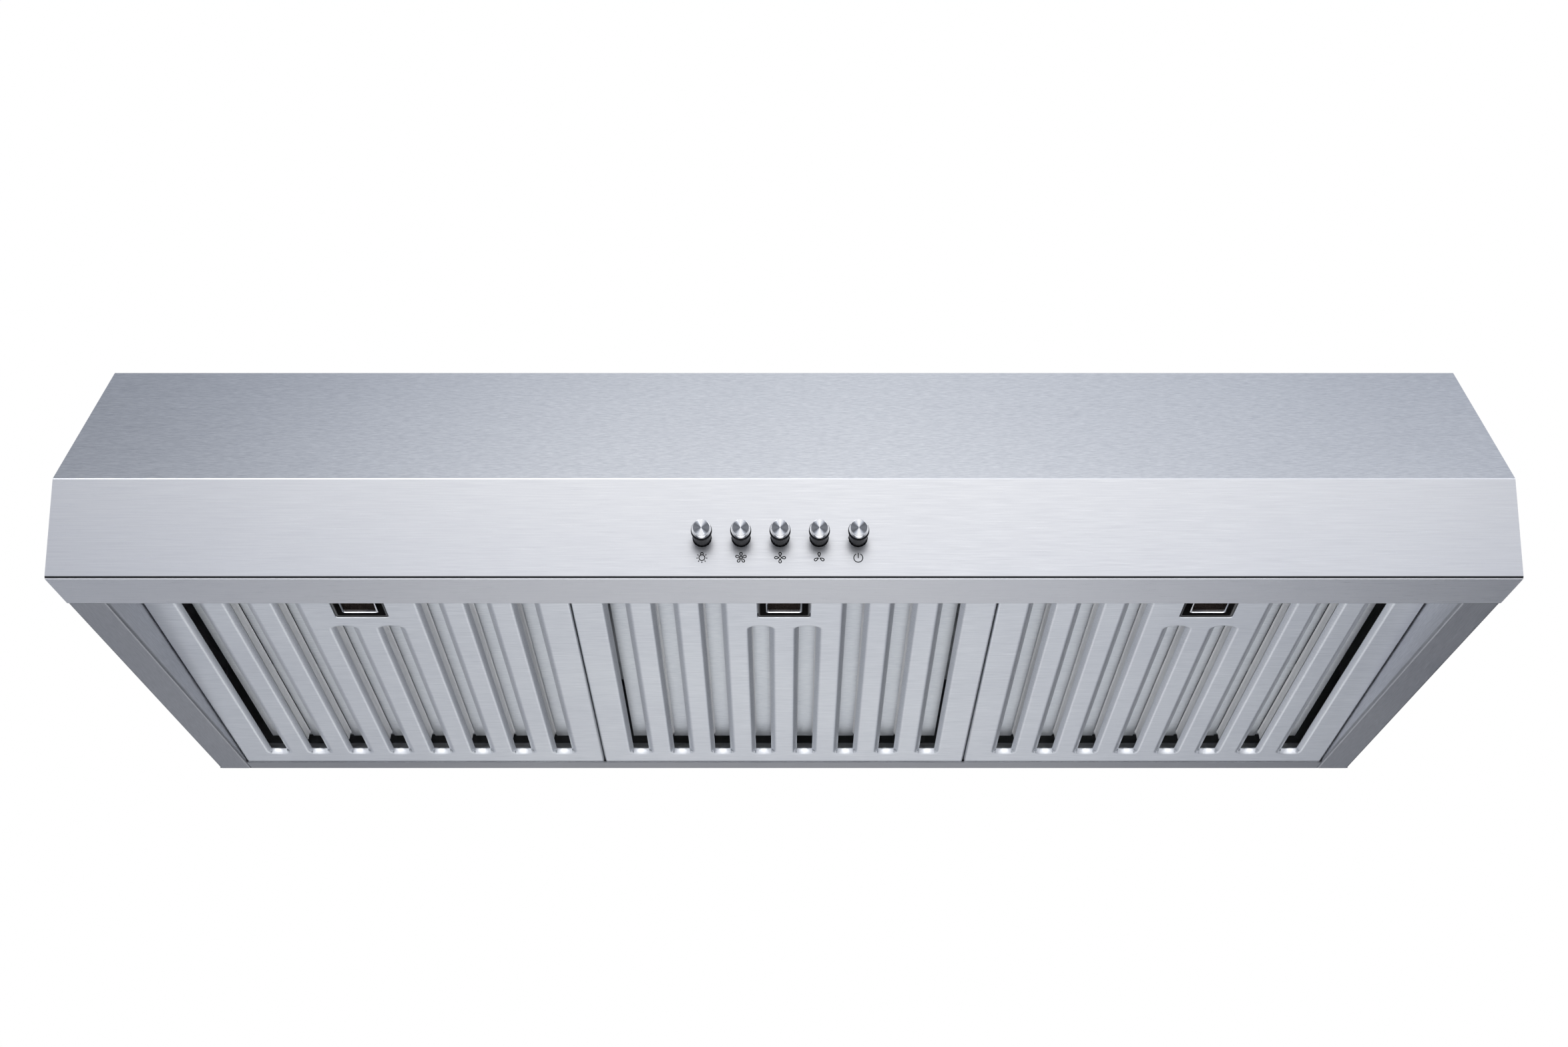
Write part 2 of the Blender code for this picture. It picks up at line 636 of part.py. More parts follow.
def motor(axle):
    """A can with two end bells and bearings, wound stator, rotor core and the through shaft."""
    can = [(MOTOR_RADIUS - 0.0015, -MOTOR_HALF), (MOTOR_RADIUS, -MOTOR_HALF), (MOTOR_RADIUS, MOTOR_HALF),
           (MOTOR_RADIUS - 0.0015, MOTOR_HALF)]
    add("motor_can", turned(can, 28), IRON, axle)
    for name, sign in (("left", -1), ("right", 1)):
        face = MOTOR_HALF + GAP
        bell = [(0.0065, face + 0.0045), (0.0150, face + 0.0060), (0.0320, face + 0.0040),
                (MOTOR_RADIUS, face), (0.0150, face - 0.0010), (0.0065, face - 0.0025)]
        add("motor_bell_" + name, turned([(r, sign * x) for r, x in bell], 24), IRON, axle)
        ball = [(BORE_RADIUS, face - 0.0020), (0.0062, face - 0.0020), (0.0062, face + 0.0040),
                (BORE_RADIUS, face + 0.0040)]
        add("bearing_" + name, turned([(r, sign * x) for r, x in ball], 16), CHROME, axle)
    stator = [(0.0206, -0.0200), (0.0342, -0.0200), (0.0342, 0.0200), (0.0206, 0.0200)]
    add("stator", turned(stator, 24), COPPER, axle)
    core = [(BORE_RADIUS, -0.0190), (0.0200, -0.0190), (0.0200, 0.0190), (BORE_RADIUS, 0.0190)]
    add("rotor_core", turned(core, 20), IRON, axle)
    tip = WHEEL_X[0] + 0.0200
    shaft = [(0.0, -tip), (SHAFT_RADIUS, -tip), (SHAFT_RADIUS, tip), (0.0, tip)]
    add("motor_shaft", turned(shaft, 16), CHROME, axle)


def motor_strap():
    """A band under the motor, bent out into two feet below the top panel."""
    reach = MOTOR_RADIUS + 3 * GAP
    top = HEIGHT - SHEET - GAP
    path = [(BLOWER_Y - reach - 0.0180, top), (BLOWER_Y - reach, top)]
    steps = 12
    for i in range(steps + 1):
        angle = pi + pi * i / steps
        path.append((BLOWER_Y + reach * cos(angle), BLOWER_Z + reach * sin(angle)))
    path += [(BLOWER_Y + reach, top), (BLOWER_Y + reach + 0.0180, top)]
    add("motor_strap", folded_sheet(path, -1, -0.0110, 0.0110, radius=0.0025, steps=1), GALVANISED)


# ---------------------------------------------------------------- duct collar, dampers, electrics

def duct_collar():
    """A rectangular collar with a foot, standing on the top panel round both outlets."""
    low, high = HEIGHT + GAP, HEIGHT + DUCT_HEIGHT

    def loop(grow, z):
        half_x, half_y = DUCT_HALF[0] + grow, DUCT_HALF[1] + grow
        return [(x, y, z) for x, y in rectangle(-half_x, half_x, DUCT_Y - half_y, DUCT_Y + half_y)]

    loops = [loop(-SHEET, low), loop(-SHEET, high), loop(0.0, high), loop(0.0, low + SHEET),
             loop(COLLAR_FOOT, low + SHEET), loop(COLLAR_FOOT, low)]
    add("duct_collar", loop_tube(loops), GALVANISED, smooth=False)


def dampers():
    """Two flaps that swing up on one rod; their knuckles alternate along it."""
    axle = empty("damper_axis", (0.0, DUCT_Y, HEIGHT + DAMPER_LIFT))
    reach = DUCT_HALF[0] - SHEET - GAP
    rod = [(0.0, -reach), (0.0015, -reach), (0.0015, reach), (0.0, reach)]
    add("damper_rod", turned(rod, 16), CHROME, axle)
    edge = reach - 0.0010
    stations = [-edge + 2 * edge * i / 4 for i in range(5)]
    for name, sign, own in (("front", -1, 0), ("rear", 1, 1)):
        outline = []
        for i in range(4):
            near = 0.0020 if i % 2 == own else 0.0032
            gap = 0.0004
            outline += [(stations[i] + gap, sign * near), (stations[i + 1] - gap, sign * near)]
        far = sign * (DUCT_HALF[1] - SHEET - 0.0010)
        outline += [(edge - 0.0004, far), (-edge + 0.0004, far)]
        flap = add("damper_flap_" + name, plate(outline, [], -0.0004, 0.0004), GALVANISED, axle, smooth=False)
        knuckles = bmesh.new()
        for i in range(own, 4, 2):
            part = turned([(0.0018, stations[i] + 0.0012), (0.0027, stations[i] + 0.0012),
                           (0.0027, stations[i + 1] - 0.0012), (0.0018, stations[i + 1] - 0.0012)], 10)
            spare = bpy.data.meshes.new("knuckle")
            bmesh.ops.recalc_face_normals(part, faces=part.faces)
            part.to_mesh(spare)
            part.free()
            knuckles.from_mesh(spare)
        boolean(flap, tool("knuckles_" + name, knuckles, axle), "UNION")


def electrics():
    """Junction box with its cover, lamp driver and the motor's capacitor."""
    x, y = JUNCTION_MIDDLE
    top = HEIGHT - SHEET - GAP
    low = top - 0.0420
    case = add("junction_box", box((x - 0.0420, y - 0.0300, low), (x + 0.0420, y + 0.0300, top)), GALVANISED,
               smooth=False)
    hollow = boxes([((x - 0.0410, y - 0.0290, low - 0.01), (x + 0.0410, y + 0.0290, top - SHEET))])
    boolean(case, tool("junction_hollow", hollow))
    knockout = turned([(0.0, top - 0.01), (0.0110, top - 0.01), (0.0110, top + 0.01), (0.0, top + 0.01)], 20, "Z")
    boolean(case, tool("junction_knockout", knockout, location=(x, y, 0.0)))
    cover = box((x - 0.0440, y - 0.0320, low - GAP - SHEET), (x + 0.0440, y + 0.0320, low - GAP))
    add("junction_cover", cover, GALVANISED, smooth=False)
    driver_low = LAMP_PANEL_Z + GAP
    add("lamp_driver", box((0.0900, 0.0520, driver_low), (0.1600, 0.0840, driver_low + 0.0220), 0.0015), GREY)
    can = [(0.0, -0.0240), (0.0110, -0.0240), (0.0125, -0.0225), (0.0125, 0.0225), (0.0110, 0.0240), (0.0, 0.0240)]
    add("run_capacitor", turned(can, 24), BLACK, location=(0.0, BLOWER_Y - 0.0760, top - 0.0129))


front_panel()
side_panel("side_panel_left", -1)
side_panel("side_panel_right", 1)
back_panel()
top_panel()
lamp_panel()
switch_body()
switch_bracket()
for label, place_x in zip(BUTTON_NAMES, button_places()):
    button(label, place_x)
for label, way in (("left", -1), ("right", 1)):
    lamp(label, way)
for label, place_x in zip(FILTER_NAMES, filter_places()):
    filter_set(label, place_x)
AXLE = empty("blower_axis", (0.0, BLOWER_Y, BLOWER_Z))
for label, way in (("left", -1), ("right", 1)):
    scroll(label, way, AXLE)
    impeller(label, way, AXLE)
motor(AXLE)
motor_strap()
duct_collar()
dampers()
electrics()
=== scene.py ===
import json
from math import atan2, cos, hypot, pi, radians, sin

import bmesh
import bpy
from mathutils import Matrix, Vector


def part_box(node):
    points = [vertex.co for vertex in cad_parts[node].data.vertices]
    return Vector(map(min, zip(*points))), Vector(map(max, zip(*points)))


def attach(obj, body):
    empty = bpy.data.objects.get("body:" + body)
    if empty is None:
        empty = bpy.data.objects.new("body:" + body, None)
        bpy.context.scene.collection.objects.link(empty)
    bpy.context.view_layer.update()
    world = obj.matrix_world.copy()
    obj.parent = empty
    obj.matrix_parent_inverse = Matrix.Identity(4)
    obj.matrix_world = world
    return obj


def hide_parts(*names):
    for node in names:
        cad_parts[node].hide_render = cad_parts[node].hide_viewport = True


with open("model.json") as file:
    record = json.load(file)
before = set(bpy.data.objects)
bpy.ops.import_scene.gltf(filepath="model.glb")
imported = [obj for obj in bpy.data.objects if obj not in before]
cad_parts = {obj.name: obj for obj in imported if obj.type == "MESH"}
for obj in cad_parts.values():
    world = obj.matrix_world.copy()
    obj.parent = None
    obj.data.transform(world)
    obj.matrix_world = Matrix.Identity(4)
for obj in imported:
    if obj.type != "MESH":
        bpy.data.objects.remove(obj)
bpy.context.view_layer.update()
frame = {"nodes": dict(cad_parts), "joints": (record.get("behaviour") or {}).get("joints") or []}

NODES = frame["nodes"]
JOINTS = {joint["name"]: joint for joint in frame["joints"]}
SIDES = (("left", -1), ("right", 1))
FILTERS = ("left", "middle", "right")
BUTTONS = ("light", "high", "medium", "low", "power")

shell_low, shell_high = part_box("front_panel")
HALF_WIDTH = shell_high.x
FACE_Y = shell_low.y
BACK_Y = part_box("back_panel")[1].y
UNDERSIDE = shell_low.z
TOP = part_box("top_panel")[1].z
# Where the upright face meets the slope.
CREASE_Z = UNDERSIDE + 0.0537
# The painted shade line where the face turns under, a dark band standing in for the dark reflection and shade
# at that bend: its heights above the underside, and how soft its edges are.
SHADE_LINE_LOW = 0.0002
SHADE_LINE_HIGH = 0.0012
SHADE_LINE_SOFT = 0.00015


# ------------------------------------------------------------ small tools

# The cosine above which a face counts as level.
LEVEL = 0.9998


def feed(tree, socket, value):
    """A value, or another node's output, into a socket."""
    if isinstance(value, bpy.types.NodeSocket):
        tree.links.new(value, socket)
    else:
        socket.default_value = value


def put(tree, kind, feeds=None, **settings):
    """Add a node with its feeds, by the name or number of each socket."""
    made = tree.nodes.new(kind)
    for key, value in settings.items():
        setattr(made, key, value)
    for key, value in (feeds or {}).items():
        feed(tree, made.inputs[key], value)
    return made


def maths(tree, operation, *values):
    """One sum on numbers or sockets."""
    made = put(tree, "ShaderNodeMath", operation=operation)
    for socket, value in zip(made.inputs, values):
        feed(tree, socket, value)
    return made.outputs[0]


def vector(tree, x=0.0, y=0.0, z=0.0):
    """Three numbers or sockets as one vector."""
    return put(tree, "ShaderNodeCombineXYZ", {"X": x, "Y": y, "Z": z}).outputs[0]


def piece(name, bm, look, body, smooth=35, level=None):
    """Turn a bmesh into a finished piece that rides on a body; faces square to level stay flat."""
    mesh = bpy.data.meshes.new(name)
    bm.to_mesh(mesh)
    bm.free()
    mesh.materials.append(look)
    if smooth:
        mesh.shade_smooth()
        mesh.set_sharp_from_angle(angle=radians(smooth))
    if level:
        for face in mesh.polygons:
            face.use_smooth = abs(face.normal.dot(level)) < LEVEL
    obj = bpy.data.objects.new(name, mesh)
    bpy.context.scene.collection.objects.link(obj)
    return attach(obj, body)


def put_box(bm, low, high, turn=None):
    """A box from its low corner to its high one, then placed by turn."""
    size = [b - a for a, b in zip(low, high)]
    middle = Vector([(a + b) / 2 for a, b in zip(low, high)])
    place = Matrix.Translation(middle) @ Matrix.Diagonal((*size, 1.0))
    if turn:
        place = turn @ place
    bmesh.ops.create_cube(bm, size=1.0, matrix=place)


def lathe(profile, centre, axis="Y", steps=48, bm=None):
    """Turn (radius, along) points about an axis through centre; radius 0 at both ends closes a solid."""
    bm = bm or bmesh.new()

    def spot(radius, along, angle):
        u, v = radius * cos(angle), radius * sin(angle)
        return Vector({"X": (along, u, v), "Y": (v, along, u), "Z": (u, v, along)}[axis]) + centre

    rings = []
    for radius, along in profile:
        count = steps if radius else 1
        rings.append([bm.verts.new(spot(radius, along, 2 * pi * i / steps)) for i in range(count)])
    loop = rings[:1] if profile[0][0] else []
    made = []
    for a, b in zip(rings, rings[1:] + loop):
        for i in range(steps):
            j = (i + 1) % steps
            corners = [a[i % len(a)], a[j % len(a)], b[j % len(b)], b[i % len(b)]]
            made.append(bm.faces.new(list(dict.fromkeys(corners))))
    bmesh.ops.recalc_face_normals(bm, faces=made)
    return bm


# ------------------------------------------------------------ finishes

def finish(name, metallic=0.0, **sockets):
    """A new material and its parts: tree, shader and the surface's own coordinates."""
    mat = bpy.data.materials.new(name)
    mat.use_nodes = True
    tree = mat.node_tree
    shader = tree.nodes["Principled BSDF"]
    shader.inputs["Metallic"].default_value = metallic
    for key, value in sockets.items():
        shader.inputs[key.replace("_", " ")].default_value = value
    return mat, tree, shader, put(tree, "ShaderNodeTexCoord").outputs["Object"]


def two_tones(tree, factor, dark, light, low=0.0, high=1.0):
    """A colour between two tones."""
    ramp = put(tree, "ShaderNodeValToRGB", {"Fac": factor})
    ramp.color_ramp.elements[0].position = low
    ramp.color_ramp.elements[0].color = (*dark, 1.0)
    ramp.color_ramp.elements[1].position = high
    ramp.color_ramp.elements[1].color = (*light, 1.0)
    return ramp.outputs["Color"]


def between(tree, value, low, high, to_low=0.0, to_high=1.0):
    """A number that runs from to_low to to_high while value runs from low to high."""
    feeds = {"Value": value, "From Min": low, "From Max": high, "To Min": to_low, "To Max": to_high}
    return put(tree, "ShaderNodeMapRange", feeds).outputs["Result"]


def spread(tree, factor, low, high):
    """A number between low and high as the factor runs over the middle of a noise."""
    return between(tree, factor, 0.3, 0.7, low, high)


def relief(tree, shader, height, depth, strength, normal=None):
    """Bump of a given depth, on top of an earlier one."""
    feeds = {"Height": height, "Distance": depth, "Strength": strength}
    if normal:
        feeds["Normal"] = normal
    made = put(tree, "ShaderNodeBump", feeds).outputs["Normal"]
    tree.links.new(made, shader.inputs["Normal"])
    return made


def streaks(tree, place, along, length, width, detail=3.0):
    """Noise drawn out into brush marks along one axis, or along two for a sheet folded across them."""
    scale = [1.0 / (length if axis in along else width) for axis in "XYZ"]
    drawn = put(tree, "ShaderNodeMapping", {"Vector": place, "Scale": scale}).outputs["Vector"]
    feeds = {"Vector": drawn, "Scale": 1.0, "Detail": detail, "Roughness": 0.62}
    return put(tree, "ShaderNodeTexNoise", feeds).outputs["Fac"]


def paint(tree, shader, tone, factor, low, high):
    """The colour of a finish, and its roughness from low to high over a noise."""
    tree.links.new(tone, shader.inputs["Base Color"])
    tree.links.new(spread(tree, factor, low, high), shader.inputs["Roughness"])


def cloud(tree, place, scale, detail=2.0):
    """Even noise."""
    feeds = {"Vector": place, "Scale": scale, "Detail": detail, "Roughness": 0.5}
    return put(tree, "ShaderNodeTexNoise", feeds).outputs["Fac"]


def mixed(tree, factor, first, second, blend="MIX"):
    """Two colours blended."""
    feeds = {0: factor, 6: first, 7: second}
    return put(tree, "ShaderNodeMix", feeds, data_type="RGBA", blend_type=blend).outputs[2]


def shaded(tree, tone, factor, dark, light, low=0.0, high=1.0):
    """The tone multiplied by a colour between two others."""
    return mixed(tree, 1.0, tone, two_tones(tree, factor, dark, light, low, high), "MULTIPLY")


def grey(value):
    """A neutral tone."""
    return value, value, value


# Heights above the underside over which a sheet's painted underside shade ends, and depths behind its outer
# faces over which its painted shade within the hood begins.
LOWER_EDGE = (0.0010, 0.0020)
INNER_EDGE = (0.0003, 0.0006)


def brushed(name, along, dark, light, rough, length=0.014, width=0.0006, depth=0.00002, metal=1.0,
            below=1.0, inside=1.0):
    """Stainless sheet brushed along one way, with painted shade: darker by below on the underside and by inside
    within the hood.
    """
    mat, tree, shader, place = finish(name, metal)
    marks = streaks(tree, place, along, length, width)
    fine = streaks(tree, place, along, length * 2.2, width * 0.35, 2.0)
    tone = two_tones(tree, marks, dark, light, 0.30, 0.70)
    tone = shaded(tree, tone, cloud(tree, place, 7.0, 3.0), (0.94, 0.94, 0.95), grey(1.0), 0.35, 0.65)
    # Painted shade: the underside darkened by below, and the faces within the hood by inside.
    if below < 1.0 or inside < 1.0:
        axes = put(tree, "ShaderNodeSeparateXYZ", {"Vector": place}).outputs
        rise = between(tree, axes["Z"], UNDERSIDE + LOWER_EDGE[0], UNDERSIDE + LOWER_EDGE[1])
    if below < 1.0:
        tone = shaded(tree, tone, rise, grey(below), grey(1.0))
    if inside < 1.0:
        within = maths(tree, "MULTIPLY", rise,
                       between(tree, axes["Y"], BACK_Y - INNER_EDGE[0], BACK_Y - INNER_EDGE[1]))
        within = maths(tree, "MULTIPLY", within,
                       between(tree, axes["Z"], TOP - INNER_EDGE[0], TOP - INNER_EDGE[1]))
        tone = shaded(tree, tone, within, grey(1.0), grey(inside))
    paint(tree, shader, tone, fine, *rough)
    first = relief(tree, shader, marks, depth, 0.6)
    relief(tree, shader, fine, depth * 0.6, 0.6, first)
    return mat


# The colour of the painted shade line along the foot of the face.
SHADE_LINE_TONE = (0.035, 0.036, 0.040, 1.0)


def fascia_steel():
    """The front sheet: a short mottled brush on the slope, a long fine one on the face and lip, painted shade
    towards the slope's top and the face's foot, and a painted shade line where it turns under.
    """
    mat, tree, shader, place = finish("fascia_steel", 1.0)
    height = put(tree, "ShaderNodeSeparateXYZ", {"Vector": place}).outputs["Z"]
    on_slope = between(tree, height, CREASE_Z - 0.0004, CREASE_Z + 0.0008)
    long_marks = streaks(tree, place, "X", 0.030, 0.0007)
    short_marks = streaks(tree, place, "X", 0.0045, 0.0008, 4.0)
    fine = streaks(tree, place, "X", 0.020, 0.00025, 2.0)
    face = two_tones(tree, long_marks, (0.83, 0.83, 0.845), (0.90, 0.90, 0.905), 0.30, 0.70)
    slope = two_tones(tree, short_marks, (0.70, 0.715, 0.74), (0.93, 0.94, 0.95), 0.32, 0.68)
    # Painted shade: the slope darker towards its top, and the face darker towards its foot.
    slope = shaded(tree, slope, between(tree, height, CREASE_Z, TOP), grey(1.0), (0.87, 0.88, 0.90))
    face = shaded(tree, face, between(tree, height, UNDERSIDE, CREASE_Z), (0.93, 0.935, 0.95), grey(1.0))
    sheet = mixed(tree, on_slope, face, slope)
    sheet = shaded(tree, sheet, cloud(tree, place, 5.0, 3.0), (0.96, 0.96, 0.965), grey(1.0), 0.35, 0.65)
    # A painted shade line just above the underside, standing in for the dark reflection and shade where the
    # face turns under.
    above_shade_line = between(tree, height, UNDERSIDE + SHADE_LINE_LOW, UNDERSIDE + SHADE_LINE_LOW + SHADE_LINE_SOFT)
    below_shade_line = between(tree, height, UNDERSIDE + SHADE_LINE_HIGH, UNDERSIDE + SHADE_LINE_HIGH + SHADE_LINE_SOFT, 1.0, 0.0)
    shade_line = maths(tree, "MULTIPLY", above_shade_line, below_shade_line)
    paint(tree, shader, mixed(tree, shade_line, sheet, SHADE_LINE_TONE), fine, 0.27, 0.37)
    first = relief(tree, shader, fine, 0.00002, 0.5)
    relief(tree, shader, short_marks, 0.00003, 0.45, first)
    return mat


def galvanised():
    """Zinc-coated sheet with its leafy spangle."""
    mat, tree, shader, place = finish("galvanised_sheet", 1.0)
    cells = put(tree, "ShaderNodeTexVoronoi", {"Vector": place, "Scale": 140.0, "Randomness": 1.0})
    shade = put(tree, "ShaderNodeSeparateColor", {"Color": cells.outputs["Color"]}).outputs["Red"]
    tone = two_tones(tree, shade, (0.47, 0.49, 0.51), (0.63, 0.65, 0.67))
    paint(tree, shader, tone, shade, 0.36, 0.52)
    relief(tree, shader, cloud(tree, place, 900.0, 3.0), 0.00003, 0.5)
    return mat


def polished(name, tone, rough):
    """Plated metal with faint wiping marks."""
    mat, tree, shader, place = finish(name, 1.0)
    wipes = cloud(tree, place, 260.0, 4.0)
    wiped = two_tones(tree, wipes, [c * 0.93 for c in tone], tone, 0.3, 0.7)
    paint(tree, shader, wiped, wipes, rough * 0.7, rough * 1.5)
    relief(tree, shader, wipes, 0.000004, 0.3)
    return mat


def moulded(name, tone, rough, grain=1600.0, depth=0.00003, shine=0.5):
    """Moulded plastic or enamel with a fine even grain."""
    mat, tree, shader, place = finish(name, 0.0, Specular_IOR_Level=shine)
    grains = cloud(tree, place, grain, 2.0)
    worn = cloud(tree, place, 60.0, 4.0)
    faded = two_tones(tree, worn, tone, [min(1.0, c * 1.35 + 0.004) for c in tone], 0.35, 0.75)
    paint(tree, shader, faded, worn, rough * 0.85, rough * 1.15)
    relief(tree, shader, grains, depth, 0.5)
    return mat


def copper_wire():
    """Lacquered turns of winding wire."""
    mat, tree, shader, place = finish("lacquered_copper", 0.9, Coat_Weight=0.6, Coat_Roughness=0.15)
    feeds = {"Vector": place, "Scale": 420.0, "Distortion": 1.5}
    turns = put(tree, "ShaderNodeTexWave", feeds, bands_direction="X").outputs["Fac"]
    tone = two_tones(tree, turns, (0.28, 0.09, 0.03), (0.72, 0.33, 0.15))
    paint(tree, shader, tone, cloud(tree, place, 500.0), 0.25, 0.45)
    relief(tree, shader, turns, 0.0002, 0.6)
    return mat


def frosted_lens():
    """Frosted lens with small prisms inside it."""
    mat, tree, shader, place = finish("frosted_lens", 0.0, Transmission_Weight=0.55, IOR=1.49)
    cells = put(tree, "ShaderNodeTexVoronoi", {"Vector": place, "Scale": 420.0}, feature="SMOOTH_F1")
    prisms = cells.outputs["Distance"]
    tone = two_tones(tree, prisms, (0.97, 0.97, 0.94), (0.86, 0.88, 0.88))
    paint(tree, shader, tone, cloud(tree, place, 300.0), 0.22, 0.36)
    relief(tree, shader, prisms, 0.0003, 0.5)
    return mat


FASCIA = fascia_steel()
# The side and sheet steels carry painted shade on their undersides, and the sheet steel within the hood as
# well.
SIDE_STEEL = brushed("side_steel", "Y", (0.56, 0.57, 0.60), (0.72, 0.73, 0.77), (0.30, 0.44), below=0.62)
SHEET_STEEL = brushed("sheet_steel", "X", (0.66, 0.67, 0.70), (0.80, 0.81, 0.84), (0.30, 0.42),
                      below=0.54, inside=0.28)
TRAY_STEEL = brushed("tray_steel", "X", (0.70, 0.72, 0.745), (0.87, 0.885, 0.905), (0.28, 0.40),
                     0.016, 0.0007)
BAFFLE_STEEL = brushed("baffle_steel", "XZ", (0.66, 0.69, 0.72), (0.88, 0.90, 0.91), (0.34, 0.50),
                       0.006, 0.0005, metal=0.75)
# A lighter, less metallic copy of the baffle steel for the folds inside the filter: painted light, so they read
# as lit where the filter's inside is in shade.
LIT_FLANGE_STEEL = brushed("lit_flange_steel", "Z", (0.74, 0.74, 0.735), (0.93, 0.93, 0.925), (0.40, 0.55),
                       0.004, 0.0005, metal=0.35)
SCREW_STEEL = brushed("screw_steel", "X", (0.55, 0.56, 0.58), (0.74, 0.75, 0.77), (0.22, 0.34),
                      0.002, 0.0003)
ZINC = galvanised()
CHROME = polished("plated_chrome", (0.86, 0.87, 0.89), 0.08)
SPUN = polished("spun_cap", (0.93, 0.93, 0.94), 0.10)
BEARING_STEEL = polished("bearing_steel", (0.66, 0.67, 0.70), 0.18)
BLACK_GLOSS = moulded("black_button", (0.004, 0.004, 0.005), 0.26, 900.0, 0.000006, 0.03)
SMOKED = polished("smoked_plate", (0.13, 0.11, 0.10), 0.24)
BLACK = moulded("black_case", (0.016, 0.015, 0.015), 0.34)
GREY = moulded("grey_moulding", (0.20, 0.205, 0.215), 0.48)
ENAMEL = moulded("motor_enamel", (0.055, 0.060, 0.068), 0.40, 700.0, 0.00008)
FAN_PLASTIC = moulded("fan_plastic", (0.34, 0.35, 0.36), 0.42)
INK = moulded("etched_mark", (0.003, 0.003, 0.004), 0.55, 2400.0, 0.000004, 0.15)
BOARD = moulded("lamp_board", (0.75, 0.76, 0.74), 0.50, 900.0, 0.00002)
PHOSPHOR = moulded("lamp_phosphor", (0.82, 0.70, 0.22), 0.45, 2000.0, 0.00001)
COPPER = copper_wire()
LENS = frosted_lens()

CAD_LOOKS = {
    FASCIA: ["front_panel"],
    SHEET_STEEL: ["back_panel", "top_panel", "lamp_panel"],
    SIDE_STEEL: ["side_panel_left", "side_panel_right"],
    ZINC: ["switch_bracket", "scroll_left", "scroll_right", "motor_strap", "duct_collar", "damper_flap_front",
           "damper_flap_rear", "junction_box", "junction_cover"],
    CHROME: ["lamp_housing_left", "lamp_housing_right"],
    BEARING_STEEL: ["motor_shaft", "bearing_left", "bearing_right", "damper_rod", "rotor_core"],
    ENAMEL: ["motor_can", "motor_bell_left", "motor_bell_right"],
    BLACK: ["run_capacitor", "inlet_ring_left", "inlet_ring_right"],
    GREY: ["switch_body", "lamp_driver"],
    COPPER: ["stator"],
    LENS: ["lamp_lens_left", "lamp_lens_right"],
}


def dress_cad_nodes():
    """Give the nodes that stay in view their finishes."""
    for look, names in CAD_LOOKS.items():
        for name in names:
            for slot in NODES[name].material_slots:
                slot.material = look


# ------------------------------------------------------------ shapes that repeat

def shape_tree(name, sizes):
    """A geometry tree with named inputs; gives the tree, its inputs and the socket to end on."""
    tree = bpy.data.node_groups.new(name, "GeometryNodeTree")
    tree.interface.new_socket("Geometry", in_out="INPUT", socket_type="NodeSocketGeometry")
    tree.interface.new_socket("Geometry", in_out="OUTPUT", socket_type="NodeSocketGeometry")
    for label, value in sizes.items():
        kind = {float: "NodeSocketFloat", int: "NodeSocketInt", tuple: "NodeSocketVector"}[type(value)]
        socket = tree.interface.new_socket(label, in_out="INPUT", socket_type=kind)
        socket.default_value = value
    return tree, tree.nodes.new("NodeGroupInput").outputs, tree.nodes.new("NodeGroupOutput").inputs[0]


def close_tree(tree, geometry, look, end):
    """Make instances real, give them their finish and end the tree."""
    real = put(tree, "GeometryNodeRealizeInstances", {"Geometry": geometry}).outputs[0]
    dressed = put(tree, "GeometryNodeSetMaterial", {"Geometry": real, "Material": look}).outputs[0]
    tree.links.new(dressed, end)


def grown(name, tree, spots, body, smooth=35, runs=0, **sizes):
    """Run a geometry tree on points, or on lines of runs points each, and keep the plain mesh."""
    seed = bpy.data.meshes.new(name)
    lines = [(i, i + 1) for i in range(len(spots) - 1) if runs and (i + 1) % runs]
    seed.from_pydata([tuple(spot) for spot in spots], lines, [])
    obj = bpy.data.objects.new(name, seed)
    bpy.context.scene.collection.objects.link(obj)
    modifier = obj.modifiers.new("shape", "NODES")
    modifier.node_group = tree
    for item in tree.interface.items_tree:
        if item.in_out == "INPUT" and item.name in sizes:
            modifier[item.identifier] = sizes[item.name]
    bpy.context.view_layer.update()
    seen = obj.evaluated_get(bpy.context.evaluated_depsgraph_get())
    mesh = bpy.data.meshes.new_from_object(seen)
    obj.modifiers.clear()
    obj.data = mesh
    if smooth:
        mesh.shade_smooth()
        mesh.set_sharp_from_angle(angle=radians(smooth))
    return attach(obj, body)


def swept(tree, curve, section):
    """A section drawn along a curve, with closed ends."""
    feeds = {"Curve": curve.outputs[0], "Profile Curve": section.outputs[0], "Fill Caps": True}
    return put(tree, "GeometryNodeCurveToMesh", feeds).outputs[0]


def on_points(tree, points, shape, **feeds):
    """The shape on every point."""
    feeds = {"Points": points, "Instance": shape, **feeds}
    return put(tree, "GeometryNodeInstanceOnPoints", feeds).outputs[0]


